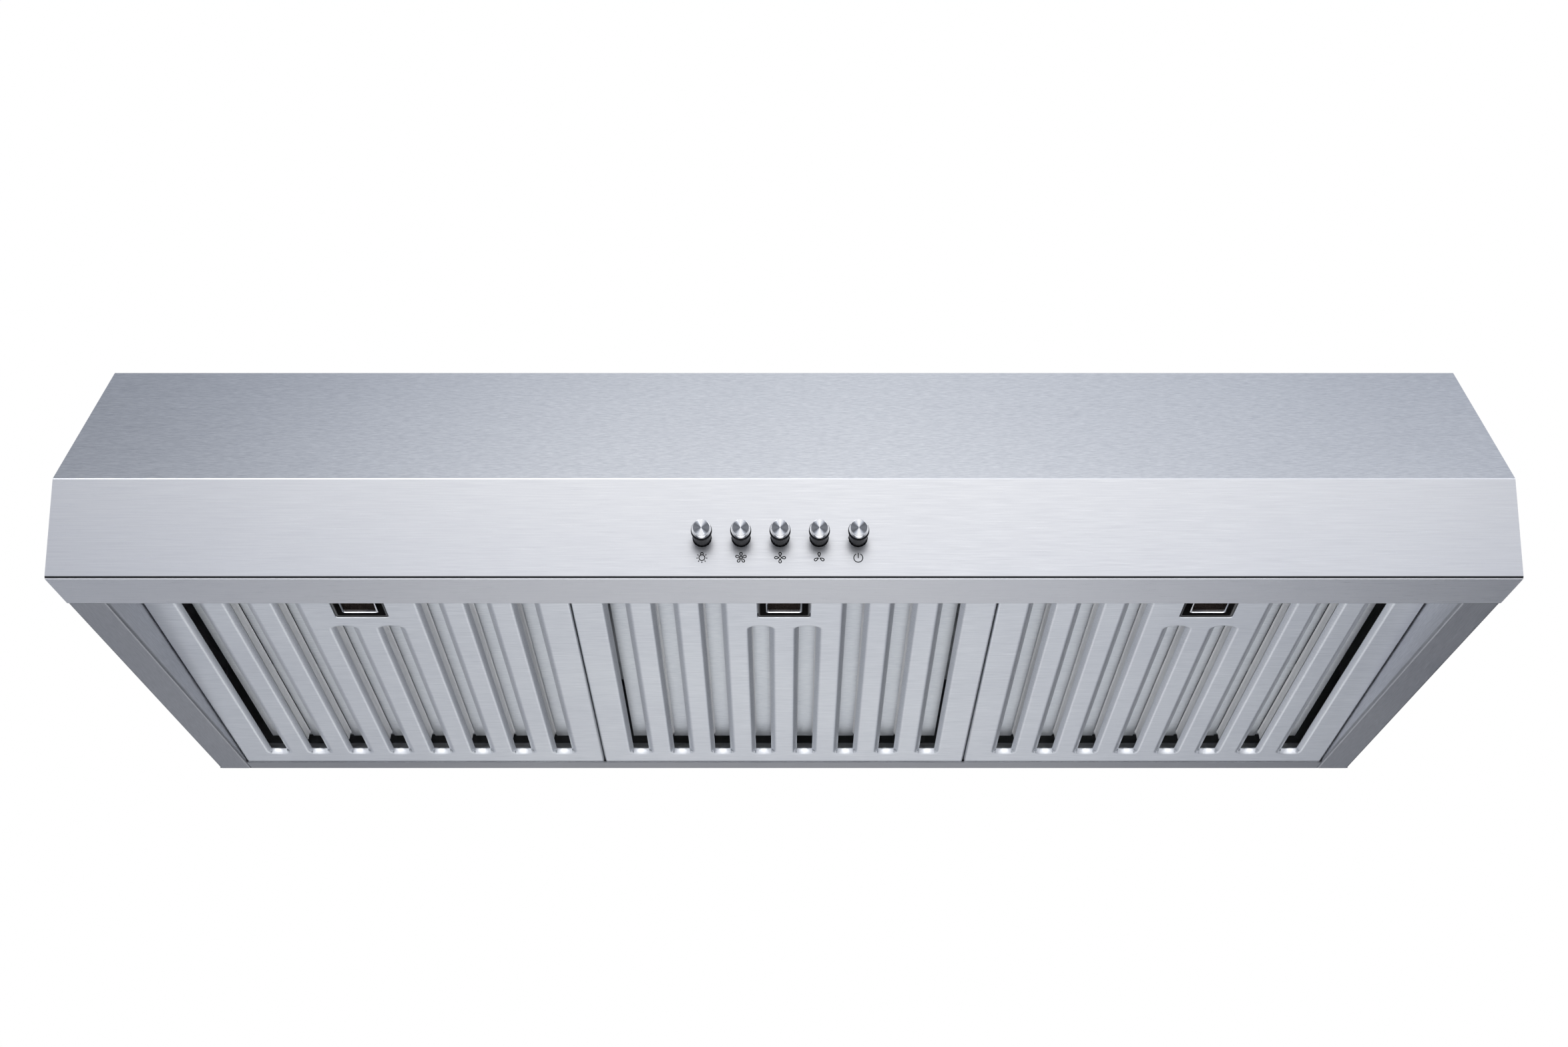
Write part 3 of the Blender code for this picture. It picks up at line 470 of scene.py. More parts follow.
def screw_tree():
    """A pan-head screw with a cross recess on every point, standing along the turned Z axis."""
    sizes = {"Head radius": 0.0035, "Head height": 0.0020, "Turn": (0.0, 0.0, 0.0)}
    tree, given, end = shape_tree("pan_head_screws", sizes)
    radius, height = given["Head radius"], given["Head height"]
    rim = maths(tree, "MULTIPLY", height, 0.45)
    shoulder, crown = maths(tree, "MULTIPLY", radius, 0.94), maths(tree, "MULTIPLY", radius, 0.55)
    skirt = put(tree, "GeometryNodeMeshCone", {
        "Vertices": 18, "Radius Top": shoulder, "Radius Bottom": radius, "Depth": rim})
    dome = put(tree, "GeometryNodeMeshCone", {
        "Vertices": 18, "Radius Top": crown, "Radius Bottom": shoulder,
        "Depth": maths(tree, "MULTIPLY", height, 0.6)})
    lift = vector(tree, z=maths(tree, "MULTIPLY", height, 0.40))
    dome = put(tree, "GeometryNodeTransform", {"Geometry": dome.outputs["Mesh"], "Translation": lift})
    head = put(tree, "GeometryNodeMeshBoolean", operation="UNION")
    tree.links.new(skirt.outputs["Mesh"], head.inputs["Mesh 2"])
    tree.links.new(dome.outputs[0], head.inputs["Mesh 2"])
    long_arm, short_arm = maths(tree, "MULTIPLY", radius, 1.15), maths(tree, "MULTIPLY", radius, 0.26)
    recess = put(tree, "GeometryNodeMeshBoolean", operation="DIFFERENCE")
    tree.links.new(head.outputs["Mesh"], recess.inputs["Mesh 1"])
    for x, y in ((long_arm, short_arm), (short_arm, long_arm)):
        arm = put(tree, "GeometryNodeMeshCube", {"Size": vector(tree, x, y, height)})
        up = put(tree, "GeometryNodeTransform", {
            "Geometry": arm.outputs["Mesh"], "Translation": vector(tree, z=height)})
        tree.links.new(up.outputs[0], recess.inputs["Mesh 2"])
    spots = on_points(tree, given["Geometry"], recess.outputs["Mesh"], Rotation=given["Turn"])
    close_tree(tree, spots, SCREW_STEEL, end)
    return tree


def weld_tree():
    """A shallow round spot weld on every point."""
    tree, given, end = shape_tree("spot_welds", {"Radius": 0.0026, "Height": 0.00014})
    ball = put(tree, "GeometryNodeMeshUVSphere", {"Segments": 20, "Rings": 8, "Radius": 1.0}).outputs[0]
    size = vector(tree, given["Radius"], given["Radius"], given["Height"])
    close_tree(tree, on_points(tree, given["Geometry"], ball, Scale=size), SHEET_STEEL, end)
    return tree


def bar_tree(name, look, sizes):
    """A short round bar on every point, lying along the turned Y axis and stretched."""
    tree, given, end = shape_tree(name, {**sizes, "Turn": (0.0, 0.0, 0.0)})
    near, far = [vector(tree, y=maths(tree, "MULTIPLY", given["Length"], share)) for share in (-0.5, 0.5)]
    line = put(tree, "GeometryNodeCurvePrimitiveLine", {"Start": near, "End": far})
    section = put(tree, "GeometryNodeCurvePrimitiveCircle", {"Resolution": 10, "Radius": given["Radius"]})
    rod = swept(tree, line, section)
    spots = on_points(tree, given["Geometry"], rod, Rotation=given["Turn"], Scale=given["Stretch"])
    close_tree(tree, spots, look, end)
    return tree


def strip_tree(name, look):
    """A folded strip along every line, with its corners rounded off."""
    tree, given, end = shape_tree(name, {"Across": 0.010, "Tall": 0.001, "Lean": 0.0, "Bend": 0.0012})
    line = put(tree, "GeometryNodeMeshToCurve", {"Mesh": given["Geometry"]}).outputs[0]
    soft = put(tree, "GeometryNodeFilletCurve", {"Curve": line, "Radius": given["Bend"], "Count": 4},
               mode="POLY")
    level = put(tree, "GeometryNodeSetCurveNormal", {"Curve": soft.outputs[0]}, mode="Z_UP")
    leant = put(tree, "GeometryNodeSetCurveTilt", {"Curve": level.outputs[0], "Tilt": given["Lean"]})
    section = put(tree, "GeometryNodeCurvePrimitiveQuadrilateral", {
        "Width": given["Across"], "Height": given["Tall"]})
    close_tree(tree, swept(tree, leant, section), look, end)
    return tree


def blade_tree():
    """Forward-curved blades round the blower's axle, each a thin bent strip."""
    sizes = {"Blades": 36, "Inner radius": 0.036, "Outer radius": 0.0434, "Width": 0.066, "Thickness": 0.0007,
             "Lean": 0.006, "Middle": (0.0, 0.0, 0.0)}
    tree, given, end = shape_tree("squirrel_cage_blades", sizes)
    middle_radius = maths(tree, "ADD", given["Inner radius"], 0.0045)
    bend = put(tree, "GeometryNodeCurveQuadraticBezier", {
        "Resolution": 5, "Start": vector(tree, 0.0, given["Inner radius"], 0.0),
        "Middle": vector(tree, 0.0, middle_radius, maths(tree, "MULTIPLY", given["Lean"], 0.08)),
        "End": vector(tree, 0.0, given["Outer radius"], given["Lean"])})
    strip = put(tree, "GeometryNodeCurvePrimitiveQuadrilateral", {
        "Width": given["Thickness"], "Height": given["Width"]})
    stations = put(tree, "GeometryNodePoints", {"Count": given["Blades"], "Position": given["Middle"]})
    index = put(tree, "GeometryNodeInputIndex").outputs[0]
    turn = maths(tree, "DIVIDE", maths(tree, "MULTIPLY", index, 2 * pi), given["Blades"])
    around = on_points(tree, stations.outputs[0], swept(tree, bend, strip), Rotation=vector(tree, turn))
    close_tree(tree, around, FAN_PLASTIC, end)
    return tree


SCREWS = screw_tree()
WELDS = weld_tree()
TABS = bar_tree("folded_tabs", TRAY_STEEL, {"Length": 0.004, "Radius": 0.0009, "Stretch": (1.0, 1.0, 1.0)})
CHIPS = bar_tree("lamp_chips", PHOSPHOR, {"Length": 0.0022, "Radius": 0.0011, "Stretch": (1.0, 1.0, 0.45)})
LANDS = strip_tree("baffle_lands", BAFFLE_STEEL)
# The folds wear the lighter steel with its painted light.
FOLDS = strip_tree("baffle_folds", LIT_FLANGE_STEEL)
BLADES = blade_tree()


# ------------------------------------------------------------ filters

class FilterPlace:
    """One filter's own directions: x across, y from the hinge to the front, z up through the sheet."""

    def __init__(self, name):
        low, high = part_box("filter_tray_" + name)
        self.half = (high.x - low.x) / 2
        axis = Vector(JOINTS["latch_slide_" + name]["axis"])
        hinge = Vector(JOINTS["filter_swing_" + name]["pos_m"])
        self.tilt = atan2(-axis.z, axis.y)
        hinge.x = (low.x + high.x) / 2
        self.place = Matrix.Translation(hinge) @ Matrix.Rotation(-self.tilt, 4, "X")

    def at(self, x, y, z):
        return self.place @ Vector((x, y, z))


TRAY_LENGTH = 0.3430
TRAY_WALL = 0.0125
TRAY_SHEET = 0.0008
TRAY_ROUND = 0.0011
SLOT_COUNT = 8
SLOT_PITCH = 0.0267
SLOT_HALF = 0.0075
SLOT_STEPS = 12
SLOT_BACK = -0.0175
SLOT_FRONT = -0.3310
SHORT_SLOT_FRONT = -0.2785
# The hole for the latch, and its rolled edge: how far out and how high.
LATCH_HALF = 0.01525
LATCH_BACK = -0.2930
LATCH_CORNER = 0.0016
LATCH_HEM = ((0.0, 0.0), (-0.0003, 0.0002), (-0.0004, 0.0006), (-0.0004, 0.0022), (0.0, 0.0022),
             (0.0, TRAY_SHEET))


def slot_outline(x, front, back, half, bulge):
    """A slot with bulged ends, round from the right of its rear end."""
    points = []
    for end, sign in ((back, 1), (front, -1)):
        for i in range(SLOT_STEPS + 1):
            angle = pi * i / SLOT_STEPS
            points.append((x + sign * half * cos(angle), end - sign * bulge * (1 - sin(angle))))
    return points


def rectangle(x, front, back, round_off=0.0, steps=3):
    """A rectangle across x, with its corners rounded."""
    if not round_off:
        return [(-x, front), (x, front), (x, back), (-x, back)]
    points = []
    for sign_x, sign_y, start in ((1, 1, 0), (-1, 1, 90), (-1, -1, 180), (1, -1, 270)):
        corner_y = back - round_off if sign_y > 0 else front + round_off
        for i in range(steps + 1):
            angle = radians(start + 90 * i / steps)
            points.append((sign_x * (x - round_off) + round_off * cos(angle),
                           corner_y + round_off * sin(angle)))
    return points


def ring(bm, spot, outline, height):
    """An outline's vertices at one height."""
    return [bm.verts.new(spot.at(x, y, height)) for x, y in outline]


def bridge(bm, rings):
    """Faces between each ring and the next."""
    for first, second in zip(rings, rings[1:]):
        for i in range(len(first)):
            j = (i + 1) % len(first)
            bm.faces.new((first[i], first[j], second[j], second[i]))


def fill(bm, loops):
    """A flat face inside the first loop, with the other loops as holes."""
    edges = []
    for loop in loops:
        for a, b in zip(loop, loop[1:] + loop[:1]):
            edges.append(bm.edges.get((a, b)) or bm.edges.new((a, b)))
    bmesh.ops.triangle_fill(bm, use_beauty=True, edges=edges)


# A folded slot edge from the face to the free rim and round to the back: how far in, and how high.
SLOT_FOLD = ((-0.0012, 0.0), (-0.0007, 0.00004), (-0.0002, 0.00014), (0.0002, 0.0003), (0.0023, 0.0017),
             (0.0025, 0.0019), (0.0025, 0.0023), (0.0020, 0.0024), (0.0002, 0.0011), (-0.0012, 0.0008))
# Above LIP_START the fold is deeper at the middle of a slot's end, by up to this share.
END_DEPTH = 0.5
LIP_START = 0.0009


def slot_rings(bm, spot, x, front, back):
    """The folded edge of one slot; gives its rings from the face to the back."""
    rings = []
    for inset, height in SLOT_FOLD:
        end_inset = inset * 1.35
        bulge = SLOT_HALF * 0.85 - inset * 0.9
        outline = slot_outline(x, front + end_inset, back - end_inset, SLOT_HALF - inset, bulge)
        made = []
        for i, point in enumerate(outline):
            around = sin(pi * (i % (SLOT_STEPS + 1)) / SLOT_STEPS)
            deeper = 1 + END_DEPTH * around * (height > LIP_START)
            made.append(bm.verts.new(spot.at(*point, height * deeper)))
        rings.append(made)
    bridge(bm, rings)
    return rings


def slot_places():
    """Middle and front end of each slot; the two beside the latch are short."""
    for i in range(SLOT_COUNT):
        x = (i - (SLOT_COUNT - 1) / 2) * SLOT_PITCH
        yield x, SHORT_SLOT_FRONT if abs(x) < SLOT_PITCH else SLOT_FRONT


def filter_tray(name, spot):
    """The slotted face with its rounded rim, upturned walls and the hole for the latch."""
    bm = bmesh.new()
    rims = []
    steps = 4
    for i in range(steps + 1):
        angle = radians(90 * i / steps)
        grow = TRAY_ROUND * (1 - sin(angle))
        outline = rectangle(spot.half - grow, -TRAY_LENGTH + grow, -grow)
        rims.append(ring(bm, spot, outline, TRAY_ROUND * (1 - cos(angle))))
    rims.append(ring(bm, spot, rectangle(spot.half, -TRAY_LENGTH, 0.0), TRAY_WALL))
    inner = rectangle(spot.half - TRAY_SHEET, -TRAY_LENGTH + TRAY_SHEET, -TRAY_SHEET)
    rims.append(ring(bm, spot, inner, TRAY_WALL))
    rims.append(ring(bm, spot, inner, TRAY_SHEET))
    bridge(bm, rims)
    face, back = [rims[0]], [rims[-1]]
    for x, front in slot_places():
        rings = slot_rings(bm, spot, x, front, SLOT_BACK)
        face.append(rings[0])
        back.append(rings[-1])
    hem = []
    for grow, height in LATCH_HEM:
        outline = rectangle(LATCH_HALF + grow, SLOT_FRONT - grow, LATCH_BACK + grow, LATCH_CORNER)
        hem.append(ring(bm, spot, outline, height))
    bridge(bm, hem)
    face.append(hem[0])
    back.append(hem[-1])
    fill(bm, face)
    fill(bm, back)
    bmesh.ops.recalc_face_normals(bm, faces=bm.faces)
    square = spot.at(0.0, 0.0, 1.0) - spot.at(0.0, 0.0, 0.0)
    tray = piece("tray_" + name, bm, TRAY_STEEL, "filter_" + name, level=square)
    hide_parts("filter_tray_" + name)


TAB_INSET = 0.0014
TAB_BACK = 0.0046
TAB_LENGTH = 0.0046
TAB_RADIUS = 0.0011


def filter_tabs(name, spot):
    """The free ends of the long folds, beside each slot's rear end."""
    spots = []
    for x, _ in slot_places():
        for side in (-1, 1):
            spots.append(spot.at(x + side * (SLOT_HALF - TAB_INSET), SLOT_BACK - TAB_BACK, TAB_RADIUS))
    turn = (-spot.tilt, 0.0, 0.0)
    grown("slot_tabs_" + name, TABS, spots, "filter_" + name, Turn=turn, Length=TAB_LENGTH, Radius=TAB_RADIUS)


LAND_HALF = 0.0053
LAND_HEIGHT = 0.0119
LAND_BACK = -0.0200
SHORT_LAND_FRONT = LATCH_BACK + 0.0040
FLANGE_BACK = -0.0350
BAFFLE_SHEET = 0.0006
# How far the baffle stays inside the tray's outline, and outside the latch hole.
BAFFLE_INSET = 0.0011
NOTCH_GAP = 0.0012
# Each folded flange: its name, how far out, how high, how deep, and how far it leans.
FLANGES = (("flanges", 0.0061, 0.0070, 0.0042, radians(10)), ("rolls", 0.0053, 0.0094, 0.0013, radians(42)))


def strip_seed(spot, x, height, front, back, kick):
    """The path of one strip: straight from the front, then turned up a little at its rear end."""
    return [spot.at(x, front, height), spot.at(x, back - kick, height), spot.at(x, back, height + kick * 0.3)]


def filter_baffle(name, spot):
    """Flat lands behind the slots, the flanges folded down beside them, and the bars behind the lands."""
    front = -TRAY_LENGTH + BAFFLE_INSET
    starts = [(x, front if end == SLOT_FRONT else SHORT_LAND_FRONT) for x, end in slot_places()]
    lands = [strip_seed(spot, x, LAND_HEIGHT, start, LAND_BACK, 0.0010) for x, start in starts]
    sets = [("lands", LANDS, lands, LAND_HALF * 2, BAFFLE_SHEET, 0.0)]
    for side, side_name in ((-1, "left_"), (1, "right_")):
        for part, out, height, depth, lean in FLANGES:
            seeds = [strip_seed(spot, x + side * out, height, start, FLANGE_BACK, 0.0006)
                     for x, start in starts if abs(x + side * SLOT_PITCH) < SLOT_PITCH * SLOT_COUNT / 2]
            sets.append((side_name + part, FOLDS, seeds, BAFFLE_SHEET, depth, -side * lean))
    for part, tree, seeds, across, tall, lean in sets:
        spots = [point for seed in seeds for point in seed]
        strips = grown("baffle_" + part + "_" + name, tree, spots, "filter_" + name, runs=len(seeds[0]),
                       Across=across, Tall=tall, Lean=lean)
    bm = bmesh.new()
    edge = spot.half - BAFFLE_INSET
    notch = LATCH_HALF + NOTCH_GAP
    low, high = LAND_HEIGHT + BAFFLE_SHEET / 2, TRAY_WALL
    reach = SLOT_PITCH * (SLOT_COUNT - 1) / 2 + LAND_HALF
    spans = ((-reach, LAND_BACK - 0.012, reach, LAND_BACK - 0.002), (-reach, -0.170, reach, -0.158),
             (-edge, front, -notch, front + 0.010), (notch, front, edge, front + 0.010))
    for left, near, right, far in spans:
        put_box(bm, (left, near, low), (right, far, high), spot.place)
    bars = piece("baffle_bars_" + name, bm, BAFFLE_STEEL, "filter_" + name)
    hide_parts("filter_baffle_" + name)


# The pull within the recess, and the tongue in front of it.
PULL_HALF = 0.0100
PULL_FRONT = -0.3245
PULL_BACK = -0.3007
PULL_RIM = 0.0009
TONGUE_HALF = 0.0050
TONGUE_REACH = 0.0052


def latch(name, spot):
    """The dark recess in the face, and the plated pull with its dark pad that slides in it."""
    wall, gap = 0.0010, 0.0007
    outer = (LATCH_HALF - gap, SLOT_FRONT + gap, LATCH_BACK - gap)
    bm = bmesh.new()
    loops = []
    for grow, height in ((0.0, 0.0004), (0.0, 0.0110), (-wall, 0.0100), (-wall, 0.0008)):
        outline = rectangle(outer[0] + grow, outer[1] - grow, outer[2] + grow, 0.0012)
        loops.append(ring(bm, spot, outline, height))
    bridge(bm, loops[:2])
    bridge(bm, [*loops[2:], loops[0]])
    bm.faces.new(loops[1])
    bm.faces.new(loops[2])
    bmesh.ops.recalc_face_normals(bm, faces=bm.faces)
    case = piece("latch_recess_" + name, bm, BLACK, "filter_" + name)
    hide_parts("latch_case_" + name)

    bm = bmesh.new()
    loops = []
    for grow, height in ((0.0, 0.0004), (0.0, 0.0072), (-PULL_RIM, 0.0070), (-PULL_RIM, 0.0006),
                         (-PULL_RIM * 0.5, 0.0002)):
        outline = rectangle(PULL_HALF + grow, PULL_FRONT - grow, PULL_BACK + grow, 0.0010)
        loops.append(ring(bm, spot, outline, height))
    bridge(bm, loops[:2])
    bridge(bm, [*loops[2:], loops[0]])
    bm.faces.new(loops[1])
    bm.faces.new(loops[2])
    put_box(bm, (-TONGUE_HALF, -TRAY_LENGTH - TONGUE_REACH, 0.0050),
            (TONGUE_HALF, PULL_FRONT + 0.0020, 0.0069), spot.place)
    bmesh.ops.recalc_face_normals(bm, faces=bm.faces)
    pull = piece("latch_pull_" + name, bm, CHROME, "latch_" + name)
    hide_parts("latch_slider_" + name)

    bm = bmesh.new()
    pad_half, pad_front, pad_back = PULL_HALF - PULL_RIM, PULL_FRONT + PULL_RIM, PULL_BACK - PULL_RIM
    put_box(bm, (-pad_half, pad_front, 0.0060), (pad_half, pad_back, 0.0066), spot.place)
    put_box(bm, (-pad_half, pad_back - 0.0006, 0.0016), (pad_half, pad_back - 0.0001, 0.0060), spot.place)
    pad = piece("latch_pad_" + name, bm, SMOKED, "latch_" + name)


# ------------------------------------------------------------ buttons and marks

# The body of a push button before its stem: radius, and distance behind the face.
BUTTON_BODY = ((0.0030, 0.0046), (0.0045, 0.0045), (0.0046, 0.0041), (0.0046, -0.0080), (0.00475, -0.0094),
               (0.0051, -0.0106), (0.00532, -0.0114), (0.0054, -0.0122), (0.0054, -0.0128), (0.0053, -0.0135),
               (0.00525, -0.0142), (0.0051, -0.0147), (0.0049, -0.0149), (0.0, -0.0149))
# The bright ring round the cap's foot, measured in the same way, and the cap's edge, from its front.
CAP_RING = ((0.0, -0.0150), (0.0049, -0.0150), (0.0050, -0.0152), (0.00496, -0.0154), (0.00445, -0.0157))
CAP_EDGE = ((0.00445, 0.0003), (0.00435, 0.0001), (0.0042, 0.0))
# The turning marks on the cap's front.
CAP_GROOVES = 24
GROOVED_RADIUS = 0.0040
GROOVE_DEPTH = 0.00005


def button_centre(name):
    """The middle of a button on the face."""
    low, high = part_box("button_" + name)
    return Vector(((low.x + high.x) / 2, 0.0, (low.z + high.z) / 2))


def button(name):
    """A glossy black flared body with a bright ring, and a spun metal cap."""
    centre = button_centre(name)
    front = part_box("cap_" + name)[0].y
    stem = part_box("button_" + name)[1].y
    body = [(0.0, stem), (0.0030, stem)] + [(radius, FACE_Y + along) for radius, along in BUTTON_BODY]
    shell = piece("push_button_" + name, lathe(body, centre), BLACK_GLOSS, "button_" + name, 50)
    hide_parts("button_" + name)
    rim = [(radius, FACE_Y + along) for radius, along in CAP_RING]
    rim += [(radius, front + along) for radius, along in CAP_EDGE]
    for i in range(CAP_GROOVES):
        rim.append((GROOVED_RADIUS * (1 - i / CAP_GROOVES), front + GROOVE_DEPTH * ((i + 1) % 2)))
    rim.append((0.0, front + 0.00003))
    cap = piece("button_cap_" + name, lathe(rim, centre, steps=64), SPUN, "button_" + name, 9)
    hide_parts("cap_" + name)


# How far a mark stands out of the face and reaches into it, and how far it lies below its button.
MARK_RAISED = 0.00005
MARK_SUNK = 0.0002
MARK_DROP = 0.0106


def stroke(bm, points, closed=False, width=0.00047):
    """A raised line of even width on the face, through points given as (x, z)."""
    count = len(points)
    left, right = [], []
    for i, (x, z) in enumerate(points):
        before = points[i - 1] if closed or i else points[0]
        after = points[(i + 1) % count] if closed or i < count - 1 else points[-1]
        run = hypot(after[0] - before[0], after[1] - before[1])
        side = (-(after[1] - before[1]) / run * width / 2, (after[0] - before[0]) / run * width / 2)
        left.append((x + side[0], z + side[1]))
        right.append((x - side[0], z - side[1]))
    depths = (FACE_Y - MARK_RAISED, FACE_Y + MARK_SUNK)
    rows = [[bm.verts.new((x, y, z)) for x, z in line] for y in depths for line in (left, right)]
    front_left, front_right, back_left, back_right = rows
    pairs = ((front_left, front_right), (front_right, back_right), (back_right, back_left),
             (back_left, front_left))
    for i in range(count if closed else count - 1):
        j = (i + 1) % count
        for a, b in pairs:
            bm.faces.new((a[i], a[j], b[j], b[i]))
    if not closed:
        for i in (0, -1):
            bm.faces.new((front_left[i], front_right[i], back_right[i], back_left[i]))


def arc(x, z, radius, start, stop, steps):
    """Points of an arc on the face, its ends in degrees."""
    angles = [radians(start + (stop - start) * i / steps) for i in range(steps + 1)]
    return [(x + radius * cos(a), z + radius * sin(a)) for a in angles]


def bulb_mark(bm, x, z):
    """A lamp with seven rays."""
    stroke(bm, arc(x, z, 0.00150, 0, 345, 23), closed=True)
    neck = ((-0.0006, 0.0014), (-0.0006, 0.0024), (-0.0004, 0.0027), (0.0004, 0.0027), (0.0006, 0.0024),
            (0.0006, 0.0014))
    stroke(bm, [(x + across, z + up) for across, up in neck])
    rays = 7
    for i in range(rays):
        angle = radians(-90 + (i - rays // 2) * 42)
        stroke(bm, [(x + reach * cos(angle), z + reach * sin(angle)) for reach in (0.0021, 0.0028)])


def fan_mark(bm, x, z, blades):
    """Outlined blades, each a drop that is widest near its tip."""
    steps = 20
    for i in range(blades):
        angle = pi / 2 + 2 * pi * i / blades
        outline = []
        for step in range(steps):
            way = (1 - cos(2 * pi * step / steps)) / 2
            along = 0.0005 + 0.0023 * way
            across = 0.00072 * sin(2 * pi * step / steps) * (0.25 + way)
            outline.append((x + along * cos(angle) - across * sin(angle),
                            z + along * sin(angle) + across * cos(angle)))
        stroke(bm, outline, closed=True)


def power_mark(bm, x, z):
    """An open ring with a bar through its gap."""
    stroke(bm, arc(x, z - 0.0001, 0.0023, 118, 422, 30))
    stroke(bm, [(x, z - 0.0002), (x, z + 0.0025)])


def face_marks():
    """The five symbols below the buttons."""
    bm = bmesh.new()
    for name in BUTTONS:
        centre = button_centre(name)
        z = centre.z - MARK_DROP
        if name == "light":
            bulb_mark(bm, centre.x, z)
        elif name == "power":
            power_mark(bm, centre.x, z)
        else:
            fan_mark(bm, centre.x, z, {"high": 5, "medium": 4, "low": 3}[name])
    bmesh.ops.recalc_face_normals(bm, faces=bm.faces)
    piece("button_symbols", bm, INK, "housing", smooth=0)


# ------------------------------------------------------------ blower, lamps, fasteners

def impellers():
    """Blades, back plate with hub and end ring for both wheels."""
    spin = Vector(JOINTS["blower_spin"]["pos_m"])
    for name, sign in SIDES:
        low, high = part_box("impeller_" + name)
        near, far = sorted((abs(low.x), abs(high.x)))
        radius = (high.z - low.z) / 2
        hub = [(0.0034, near), (radius - 0.0008, near), (radius, near + 0.0006), (radius, near + 0.0014),
               (0.0120, near + 0.0018), (0.0084, near + 0.0040), (0.0080, near + 0.0160),
               (0.0034, near + 0.0160)]
        centre = Vector((0.0, spin.y, spin.z))
        bm = lathe([(r, sign * x) for r, x in hub], centre, "X", 56)
        hoop = [(radius - 0.0088, far - 0.0018), (radius - 0.0006, far - 0.0018), (radius, far - 0.0012),
                (radius, far - 0.0002), (radius - 0.0084, far - 0.0002)]
        lathe([(r, sign * x) for r, x in hoop], centre, "X", 56, bm)
        wheel = piece("wheel_" + name, bm, FAN_PLASTIC, "blower_rotor")
        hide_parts("impeller_" + name)
        middle = (sign * (near + far) / 2, spin.y, spin.z)
        blades = grown("blades_" + name, BLADES, [middle], "blower_rotor", Middle=middle)


def lamps():
    """The board and its light chips behind each lens."""
    for name, _ in SIDES:
        low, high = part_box("lamp_lens_" + name)
        centre = Vector(((low.x + high.x) / 2, (low.y + high.y) / 2, 0.0))
        floor = high.z + 0.0030
        board = [(0.0, floor + 0.0010), (0.0140, floor + 0.0010), (0.0142, floor + 0.0008), (0.0142, floor),
                 (0.0, floor)]
        plate = piece("lamp_board_" + name, lathe(board, centre, "Z", 40), BOARD, "housing")
        spots = [centre + Vector((0.0, 0.0, floor))]
        for count, radius in ((6, 0.0055), (12, 0.0105)):
            for i in range(count):
                angle = 2 * pi * i / count
                spots.append(centre + Vector((radius * cos(angle), radius * sin(angle), floor)))
        grown("lamp_chips_" + name, CHIPS, spots, "housing")


def fasteners():
    """Screws on the back, the collar, the junction cover and the lamp panel; spot welds on top."""
    inset = 0.012
    edges = (-HALF_WIDTH + inset, HALF_WIDTH - inset)
    back = [(x, BACK_Y, TOP - inset) for x in (-0.30, -0.15, 0.0, 0.15, 0.30)]
    back += [(x, BACK_Y, z) for x in edges for z in (TOP - 0.04, TOP - 0.11)]
    low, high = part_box("duct_collar")
    rim = 0.0045
    foot = [(x, y, TOP + 0.0013) for x in (low.x + rim, 0.0, high.x - rim) for y in (low.y + rim, high.y - rim)]
    low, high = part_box("junction_cover")
    rim = 0.006
    cover = [(x, y, low.z) for x in (low.x + rim, high.x - rim) for y in (low.y + rim, high.y - rim)]
    low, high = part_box("lamp_panel")
    ledge = [(x, (low.y + high.y) / 2, UNDERSIDE + 0.025) for x in (-0.33, 0.33)]
    sets = (("back", back, (-pi / 2, 0.0, 0.0), 0.0034), ("collar", foot, (0.0, 0.0, 0.0), 0.0032),
            ("junction", cover, (pi, 0.0, 0.0), 0.0030), ("lamp_panel", ledge, (pi, 0.0, 0.0), 0.0032))
    for name, spots, turn, radius in sets:
        sizes = {"Turn": turn, "Head radius": radius, "Head height": radius * 0.6}
        grown("screws_" + name, SCREWS, spots, "housing", **sizes)
    welds = [(x, y, TOP) for x in edges for y in (-0.05, 0.03, 0.11, 0.19)]
    welds += [(x, FACE_Y + 0.117, TOP) for x in (-0.33, -0.22, -0.11, 0.0, 0.11, 0.22, 0.33)]
    welds += [(x, BACK_Y - 0.010, TOP) for x in (-0.26, -0.13, 0.0, 0.13, 0.26)]
    grown("spot_welds", WELDS, welds, "housing", 60)


# ------------------------------------------------------------ light, floor and camera

FLOOR_HALF = 1.3
FLOOR_DROP = 1.65
FLOOR_SHEET = 0.01


def stage():
    """A pale floor well below the hood."""
    floor = bmesh.new()
    put_box(floor, (-FLOOR_HALF, -FLOOR_HALF, UNDERSIDE - FLOOR_DROP - FLOOR_SHEET),
            (FLOOR_HALF, FLOOR_HALF, UNDERSIDE - FLOOR_DROP))
    mesh = bpy.data.meshes.new("floor")
    floor.to_mesh(mesh)
    floor.free()
    mat, tree, shader, place = finish("pale_floor", 0.0)
    tree.links.new(two_tones(tree, cloud(tree, place, 3.0), grey(0.80), grey(0.86)),
                   shader.inputs["Base Color"])
    shader.inputs["Roughness"].default_value = 0.7
    mesh.materials.append(mat)
    obj = bpy.data.objects.new("floor", mesh)
    bpy.context.scene.collection.objects.link(obj)


def room_ramp(tree, factor, stops):
    """A colour ramp through stops, each a place from 0 to 1 and a colour."""
    ramp = put(tree, "ShaderNodeValToRGB", {"Fac": factor})
    elements = ramp.color_ramp.elements
    while len(elements) < len(stops):
        elements.new(0.5)
    for element, (place, colour) in zip(elements, stops):
        element.position = place
        element.color = (*colour, 1.0)
    return ramp.outputs["Color"]


